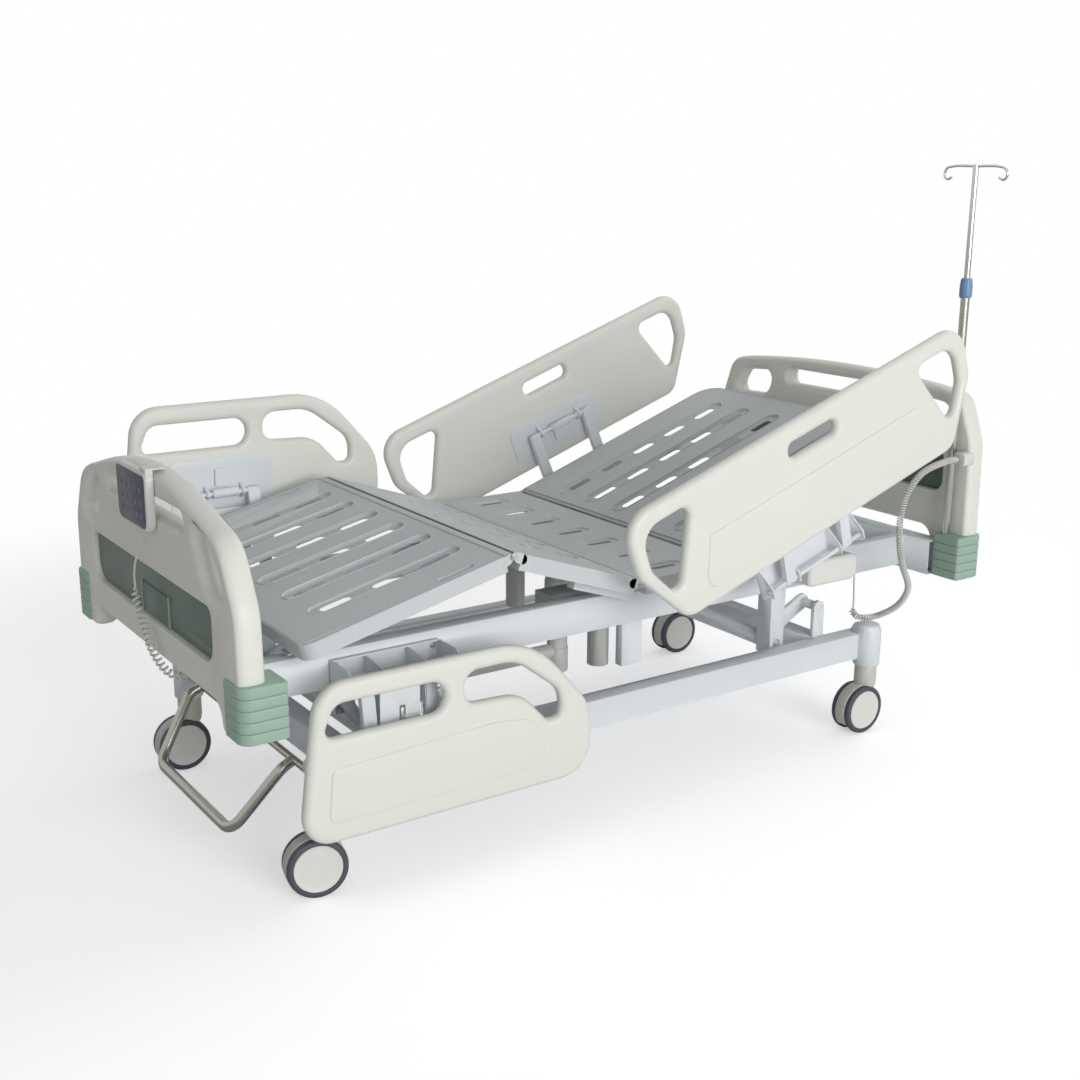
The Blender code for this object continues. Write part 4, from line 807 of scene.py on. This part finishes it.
for side in (-1, 1):
    name = "siderail_head_" + tag_of(side)
    siderail(name, name, back_place, side, 0.545, head_outline,
             [head_slot, along(head_opening, MIDDLE), [(MIDDLE - a, b, r) for a, b, r in head_opening]],
             head_panel, (0.063, 0.38, 0.05, 0.151), (0.156, 0.296),
             (0.508, -0.1 + math.sqrt(0.211 ** 2 - 0.021 ** 2)),
             (0.205, 0.247, 0.062, 0.095))


# The castors are twin-wheeled: an off-white disc set in a dark tyre on either side of a
# beige hood that swivels under the base.
hood_plastic = finish_of("hood_plastic", "grey_plastic", (0.58, 0.57, 0.52), (0.53, 0.52, 0.47), (0.35, 0.48))
disc_plastic = finish_of("disc_plastic", "grey_plastic", (0.74, 0.74, 0.7), (0.7, 0.7, 0.66), (0.3, 0.45))
tyre_rubber = finish_of("tyre_rubber", "tyre_rubber", (0.075, 0.075, 0.1), (0.06, 0.06, 0.08), (0.45, 0.62),
                        900, 20, 0.0001)
AXLE_Z = 0.065


def revolved(name, profile, steps=64):
    """A profile of (radius, along Y) points spun round the Y axis."""
    mesh = bpy.data.meshes.new(name)
    mesh.from_pydata([(r, y, 0) for r, y in profile], [(k, k + 1) for k in range(len(profile) - 1)], [])
    made = placed(name, mesh)
    select_only(made)
    mode("EDIT")
    bpy.ops.mesh.select_all(action="SELECT")
    bpy.ops.mesh.spin(steps=steps, angle=2 * math.pi, center=(0, 0, 0), axis=(0, 1, 0))
    closed_up()
    shaded(35)
    return made


tyre_profile = [(0.05, 0), (0.0605, 0), (0.0638, 0.0012), (0.065, 0.0042), (0.065, 0.0085), (0.0642, 0.0118),
                (0.0612, 0.0145), (0.056, 0.0153), (0.0532, 0.0146), (0.0528, 0.01), (0.05, 0.008), (0.05, 0)]
disc_profile = [(0, 0.001), (0.0505, 0.001), (0.0524, 0.0035), (0.0524, 0.0126), (0.0512, 0.014),
                (0.0495, 0.0138), (0.046, 0.0126), (0.036, 0.0112), (0.018, 0.0104), (0, 0.0102)]
for end, stem in (("foot", -0.817), ("head", 0.773)):
    for side in (-1, 1):
        tag = f"{end}_{tag_of(side)}"
        turn = math.radians(-12) if tag == "foot_near" else 0.0
        swivel = Matrix.Translation((stem, side * 0.385, 0)) @ Matrix.Rotation(turn, 4, "Z")
        wheel_place = swivel @ Matrix.Translation((-0.025, 0, AXLE_Z))
        made = []
        for way in (-1, 1):
            put = wheel_place @ Matrix.Translation((0, way * 0.0165, 0)) @ Matrix.Scale(way, 4, (0, 1, 0))
            for kind, profile, finish in (("tyre", tyre_profile, tyre_rubber),
                                          ("disc", disc_profile, disc_plastic)):
                piece = revolved(f"castor_{tag}_{kind}_{'in' if way < 0 else 'out'}", profile)
                piece.data.transform(put)
                if way < 0:
                    piece.data.flip_normals()
                settled(piece, finish, "wheel_" + tag, ["castor_wheel_" + tag])
        arc = [(-0.025 + 0.066 * math.cos(math.radians(a)), AXLE_Z + 0.066 * math.sin(math.radians(a)))
               for a in range(-38, 219, 6)]
        plate(f"castor_{tag}_hood", "Y", arc, -0.016, 0.016, swivel, hood_plastic, "castor_" + tag,
              0.003, (), 3, ["castor_hood_" + tag])
        neck = revolved(f"castor_{tag}_neck", [(0, 0.12), (0.026, 0.12), (0.029, 0.135), (0.029, 0.178),
                                               (0.0265, 0.1847), (0, 0.1847)], 40)
        neck.data.transform(swivel @ Matrix.Rotation(math.radians(90), 4, "X"))
        settled(neck, hood_plastic, "castor_" + tag)


# The brake pedal is one bow of stainless tube across the foot end, on a shaft between
# the two base rails.
# Painted reflection: the tube's metal colour is set dark for the dark surroundings that the bow reflects.
stainless = metal_of("stainless_tube_painted_reflection", (0.36, 0.345, 0.31), (0.16, 0.34), (0.6, 0.6, 0.6))


def tube_piece(name, points, radius, finish, body, nodes=(), sides=4):
    """A round tube along the points, as a mesh with closed ends."""
    select_only(round_curve(name, points, radius, sides))
    bpy.ops.object.convert(target="MESH")
    piece = bpy.context.active_object
    closed_up(0.00001)
    shaded(50)
    return settled(piece, finish, body, nodes)


def bent(points, radius, parts=10):
    """The straight runs through the points, each inner corner turned into a bend."""
    path = [Vector(points[0])]
    for last, here, after in zip(points, points[1:], points[2:]):
        here = Vector(here)
        to_last, to_next = Vector(last) - here, Vector(after) - here
        reach = min(radius, to_last.length * 0.49, to_next.length * 0.49)
        start = here + to_last.normalized() * reach
        end = here + to_next.normalized() * reach
        for k in range(parts + 1):
            t = k / parts
            path.append(start * (1 - t) ** 2 + here * 2 * t * (1 - t) + end * t ** 2)
    path.append(Vector(points[-1]))
    return path


bow = [(-0.827, -0.26, 0.25), (-0.857, -0.264, 0.238), (-0.957, -0.215, 0.1)]
bow += [(x, -y, z) for x, y, z in reversed(bow)]
tube_piece("brake_bow", bent(bow, 0.04), 0.012, stainless, "pedal", ["brake_pedal"], 8)
tube_piece("brake_shaft", [(-0.827, -0.3495, 0.25), (-0.827, 0.3495, 0.25)], 0.0085, stainless, "pedal")


# The infusion pole: a stainless tube on the near head corner, a sliding rod with two
# hooks, and a blue plastic collar that clamps the rod at its height.
bright = metal_of("bright_stainless", (0.6, 0.58, 0.54), (0.12, 0.3), (0.5, 0.5, 0.02))
collar_blue = finish_of("collar_blue", "grey_plastic", (0.19, 0.29, 0.5), (0.16, 0.25, 0.44), (0.35, 0.5),
                        700, 30, 0.00005)
POLE_X, POLE_Y = 0.978, -0.448
foot_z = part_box("iv_pole_tube")[0].z


def upright(name, profile, finish, body, nodes=(), steps=40):
    """A profile of (radius, z) points turned round the pole's line."""
    piece = revolved(name, [(r, -z) for r, z in profile], steps)
    piece.data.transform(Matrix.Translation((POLE_X, POLE_Y, 0)) @ Matrix.Rotation(math.radians(-90), 4, "X"))
    return settled(piece, finish, body, nodes)


upright("pole_tube", [(0, foot_z), (0.0105, foot_z), (0.011, foot_z + 0.001), (0.011, 1.168), (0, 1.168)],
        bright, "frame", ["iv_pole_tube"])
upright("pole_collar",
        [(0.0109, 1.148), (0.0135, 1.146), (0.0155, 1.149), (0.016, 1.155), (0.016, 1.178), (0.0148, 1.184),
         (0.0148, 1.188), (0.0135, 1.194), (0.0095, 1.196), (0.0082, 1.196), (0.0082, 1.17), (0.0109, 1.148)],
        collar_blue, "frame")
upright("pole_rod", [(0, 0.78), (0.0075, 0.78), (0.0075, 1.4735), (0.0065, 1.4745), (0, 1.4745)],
        bright, "pole_rod", ["iv_pole_rod"])
for way in (-1, 1):
    hook = [(POLE_X, POLE_Y + way * y, z) for y, z in (
        (0, 1.47), (0.06, 1.4710), (0.092, 1.466), (0.0975, 1.447), (0.087, 1.436), (0.073, 1.443))]
    tube_piece(f"pole_hook_{tag_of(way)}", bent(hook, 0.014, 5), 0.0034, bright, "pole_rod")


# Each foot siderail turns on a folded bracket bolted to the frame rail: a back plate with
# a lip, two end flanges and two straps round the shaft. A latch plate with its hook swings
# between the arms, beside two return springs.
def coil(name, start, end, radius, wire, turns, body):
    """A close-wound spring from start to end."""
    start, end = Vector(start), Vector(end)
    way = (end - start).normalized()
    side = way.orthogonal().normalized()
    other = way.cross(side)
    points = []
    for k in range(turns * 10 + 1):
        angle = 2 * math.pi * k / 10
        out = side * math.cos(angle) + other * math.sin(angle)
        points.append(start.lerp(end, k / (turns * 10)) + out * radius)
    return tube_piece(name, points, wire, zinc, body, (), 1)


SHAFT_Y, SHAFT_Z = 0.42, 0.465


def on_shaft(x, side):
    """The point at x on the line of the bracket's shaft."""
    return x, side * SHAFT_Y, SHAFT_Z


for side, top_y, top_z in ((-1, 0.4155, 0.25405), (1, 0.508, 0.65677)):
    name = "siderail_foot_" + tag_of(side)
    node = name + "_bracket"
    plate(node + "_back", "Y", slab(-0.774, -0.517, 0.407, 0.485, 0.004), side * 0.3353, side * 0.3393, level,
          paint, "frame", 0.0008, (), 1, [node])
    lo, hi = sorted((side * 0.3355, side * 0.348))
    plate(node + "_lip", "Z", slab(-0.7735, -0.5175, lo, hi), 0.4815, 0.485, level, paint, "frame", 0.0008)
    flange, strap = (rounded([(side * a, b, r) for a, b, r in corners]) for corners in (
        [(0.3355, 0.4075, 0), (0.4, 0.43, 0.01), (0.4335, 0.452, 0.012), (0.4335, 0.476, 0.01),
         (0.421, 0.4845, 0.008), (0.3355, 0.4845, 0)],
        [(0.3355, 0.447, 0), (0.4225, 0.454, 0.008), (0.4335, 0.4605, 0.008), (0.4335, 0.4715, 0.008),
         (0.4225, 0.4775, 0.008), (0.3355, 0.4835, 0)]))
    for k, (x, line) in enumerate(((-0.772, flange), (-0.519, flange), (-0.695, strap), (-0.596, strap))):
        plate(f"{node}_lug_{k}", "X", line, x - 0.002, x + 0.002, level, paint, "frame")
        way = -1 if k == 0 else 1
        bolt(on_shaft(x + way * 0.002, side), (way, 0, 0), "frame", 0.0085, 0.0035)
    for k, (a, b) in enumerate(((-0.7695, -0.738), (-0.554, -0.5215))):
        tube_piece(f"{node}_sleeve_{k}", [on_shaft(a, side), on_shaft(b, side)], 0.0105, paint, "frame",
                   sides=6)
    coil(name + "_shaft_spring", on_shaft(-0.689, side), on_shaft(-0.655, side), 0.0085, 0.0011, 9, "frame")
    lean = Matrix.Rotation(math.atan2(SHAFT_Y * side - top_y * side, top_z - SHAFT_Z), 4, "X")
    arms_place = Matrix.Translation(on_shaft(0, side)) @ lean @ Matrix.Translation((0, side * 0.004, 0))
    line = rounded([(-0.7, 0.024, 0.004), (-0.606, 0.024, 0.004), (-0.606, 0.172, 0.012),
                    (-0.7, 0.172, 0.012)])
    slot = slab(-0.655, -0.641, 0.08, 0.16, 0.004)
    plate(name + "_latch_plate", "Y", line, -0.00125, 0.00125, arms_place, paint, name + "_arms",
          0.0004, [slot])
    hook = [(-0.6525, 0.084), (-0.6455, 0.084), (-0.6455, 0.11), (-0.634, 0.11), (-0.634, 0.124),
            (-0.6455, 0.124), (-0.6455, 0.156), (-0.6525, 0.156)]
    plate(name + "_latch_hook", "Y", hook, -0.0045, 0.0045, arms_place, zinc, name + "_arms")
    for k, x in enumerate((-0.6, -0.5925)):
        coil(f"{name}_return_spring_{k}", arms_place @ Vector((x, 0, 0.026)),
             arms_place @ Vector((x, 0, 0.165)), 0.0026, 0.0007, 36, name + "_arms")


# The handset: a pale two-part case with a dark membrane keypad of small plain keys, held
# by a hook over the top of the footboard.
case_plastic = finish_of("case_plastic", "handset_plastic", (0.68, 0.69, 0.66), (0.64, 0.65, 0.62),
                         (0.32, 0.45), 800, 12, 0.00005)
keypad_film = finish_of("keypad_film", "handset_plastic", (0.075, 0.082, 0.115), (0.062, 0.07, 0.1),
                        (0.25, 0.36), 900, 15, 0.00003)
key_print = finish_of("key_print", "handset_plastic", (0.12, 0.13, 0.17), (0.1, 0.11, 0.145), (0.28, 0.38),
                      900, 15, 0.00002)
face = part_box("footboard")[0].x - 0.0003
case_line = rounded([(-0.094, 0.735, 0.024), (0.088, 0.735, 0.024), (0.09, 0.862, 0.016),
                     (-0.096, 0.862, 0.016)])
plate("handset_case", "X", case_line, face - 0.0205, face, level, case_plastic, "frame", 0.007, (), 5,
      ["handset"])
film_line = rounded([(-0.087, 0.742, 0.018), (0.081, 0.742, 0.018), (0.083, 0.855, 0.01),
                     (-0.089, 0.855, 0.01)])
plate("handset_film", "X", film_line, face - 0.0211, face - 0.016, level, keypad_film, "frame", 0.0004)
for row in range(3):
    for column in range(5):
        y, z = -0.062 + column * 0.0295, 0.766 + row * 0.0275
        key = slab(y - 0.007, y + 0.007, z - 0.0055, z + 0.0055, 0.003)
        plate(f"handset_key_{row}_{column}", "X", key, face - 0.0216, face - 0.018, level, key_print, "frame",
              0.0004)
hook_line = [(face + x, z) for x, z in ((-0.0165, 0.842), (-0.0165, 0.8695), (0.03, 0.8695), (0.03, 0.8665),
                                        (-0.001, 0.8665), (-0.001, 0.842))]
plate("handset_hook", "Y", hook_line, -0.09, -0.055, level, case_plastic, "frame", 0.0008)


# The card pocket on the foot panel is a clear tinted strip held off the panel by a rim.
pocket_clear = finish_of("pocket_clear", "green_panel", (0.34, 0.4, 0.36), (0.3, 0.36, 0.32), (0.08, 0.16),
                         300, 9, 0.00003)
panel_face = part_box("footboard_panel")[0].x
for name, y0, y1, z0, z1, out, finish in (
    ("pocket_front", -0.1, 0.058, 0.532, 0.597, 0.003, panel_green),
    ("pocket_base", -0.1, 0.058, 0.53, 0.532, 0.0036, pocket_clear),
    ("pocket_near", -0.1025, -0.1, 0.53, 0.6, 0.0045, pocket_clear),
    ("pocket_far", 0.058, 0.0605, 0.53, 0.6, 0.0045, pocket_clear),
):
    plate(name, "X", slab(y0, y1, z0, z1, 0.001), panel_face - out, panel_face + 0.001, level, finish,
          "frame")


# Drives: four grey linear motors hang inside the frame rails, each with a bright rod. The
# control box is clipped to the outside of the near rail.
motor_plastic = finish_of("motor_plastic", "grey_plastic", (0.5, 0.51, 0.48), (0.46, 0.47, 0.44),
                          (0.35, 0.48), patch=10)
for node in ("back_motor", "knee_motor", "lift_motor_foot", "lift_motor_head"):
    eased(node, 0.0015, motor_plastic)
    eased(node + "_rod", 0.0005, bright, 1)
eased("control_box", 0.004, disc_plastic, 3)
eased("cord_power_plug", 0.0015, (case_plastic[0], "cord_plastic"))


# Floor, backdrop and light: a white sweep, one broad soft lamp from the near head side
# and weaker ones from above and from the foot, as in a product studio.
bpy.ops.mesh.primitive_plane_add(size=60, location=(0, 0, 0))
floor = bpy.context.active_object
floor.name = "studio_floor"
floor_white, tree, shader = material_of("studio_white")
seen = added(tree, "LightPath", {}).outputs["Is Camera Ray"]
glow = added(tree, "Math", {0: seen, 1: 0.45}, operation="MULTIPLY")
fed(tree, shader, {"Base Color": (0.9, 0.9, 0.91, 1), "Roughness": 0.7, "Specular IOR Level": 0.1,
                   "Emission Color": (1, 1, 1, 1), "Emission Strength": glow.outputs[0]})
place = added(tree, "TexCoord", {})
reach = added(tree, "VectorMath", {0: place.outputs["Object"]}, operation="LENGTH")
fade = added(tree, "MapRange", {"From Min": 1.6, "From Max": 3.4, "Value": reach.outputs["Value"]},
             interpolation_type="SMOOTHSTEP")
only_seen = added(tree, "Math", {0: fade.outputs["Result"], 1: seen}, operation="MULTIPLY")
white = added(tree, "Emission", {})
blend = added(tree, "MixShader", {"Fac": only_seen.outputs[0], 1: shader.outputs["BSDF"],
                                  2: white.outputs["Emission"]})
fed(tree, tree.nodes["Material Output"], {"Surface": blend.outputs["Shader"]})
floor.data.materials.append(floor_white)

world = bpy.data.worlds.new("studio")
bpy.context.scene.world = world
world.use_nodes = True
tree = world.node_tree
path = added(tree, "LightPath", {})
shown = added(tree, "Math", {0: path.outputs["Is Camera Ray"], 1: path.outputs["Is Glossy Ray"]},
              operation="MAXIMUM")
strength = added(tree, "MapRange", {"To Min": 0.3, "To Max": 1, "Value": shown.outputs[0]})
fed(tree, tree.nodes["Background"], {"Color": (1, 1, 1, 1), "Strength": strength.outputs["Result"]})


def lamp(name, place, target, size, power):
    data = given(bpy.data.lights.new(name, "AREA"), shape="RECTANGLE", size=size[0], size_y=size[1],
                 energy=power)
    way = Vector(place) - Vector(target)
    turn = way.to_track_quat("Z", "Y").to_matrix().to_4x4()
    placed(name, data).matrix_world = Matrix.Translation(place) @ turn


lamp("key", (-0.3, -8.0, 2.4), (0, 0, 0.5), (5.0, 3.6), 385)
lamp("top", (4.0, 0.3, 5.0), (0, 0, 0.4), (4.0, 3.0), 70)
lamp("fill", (-4.5, -1.5, 2.2), (0, 0, 0.5), (3.0, 2.5), 2)

bpy.context.scene.view_settings.view_transform = "Standard"
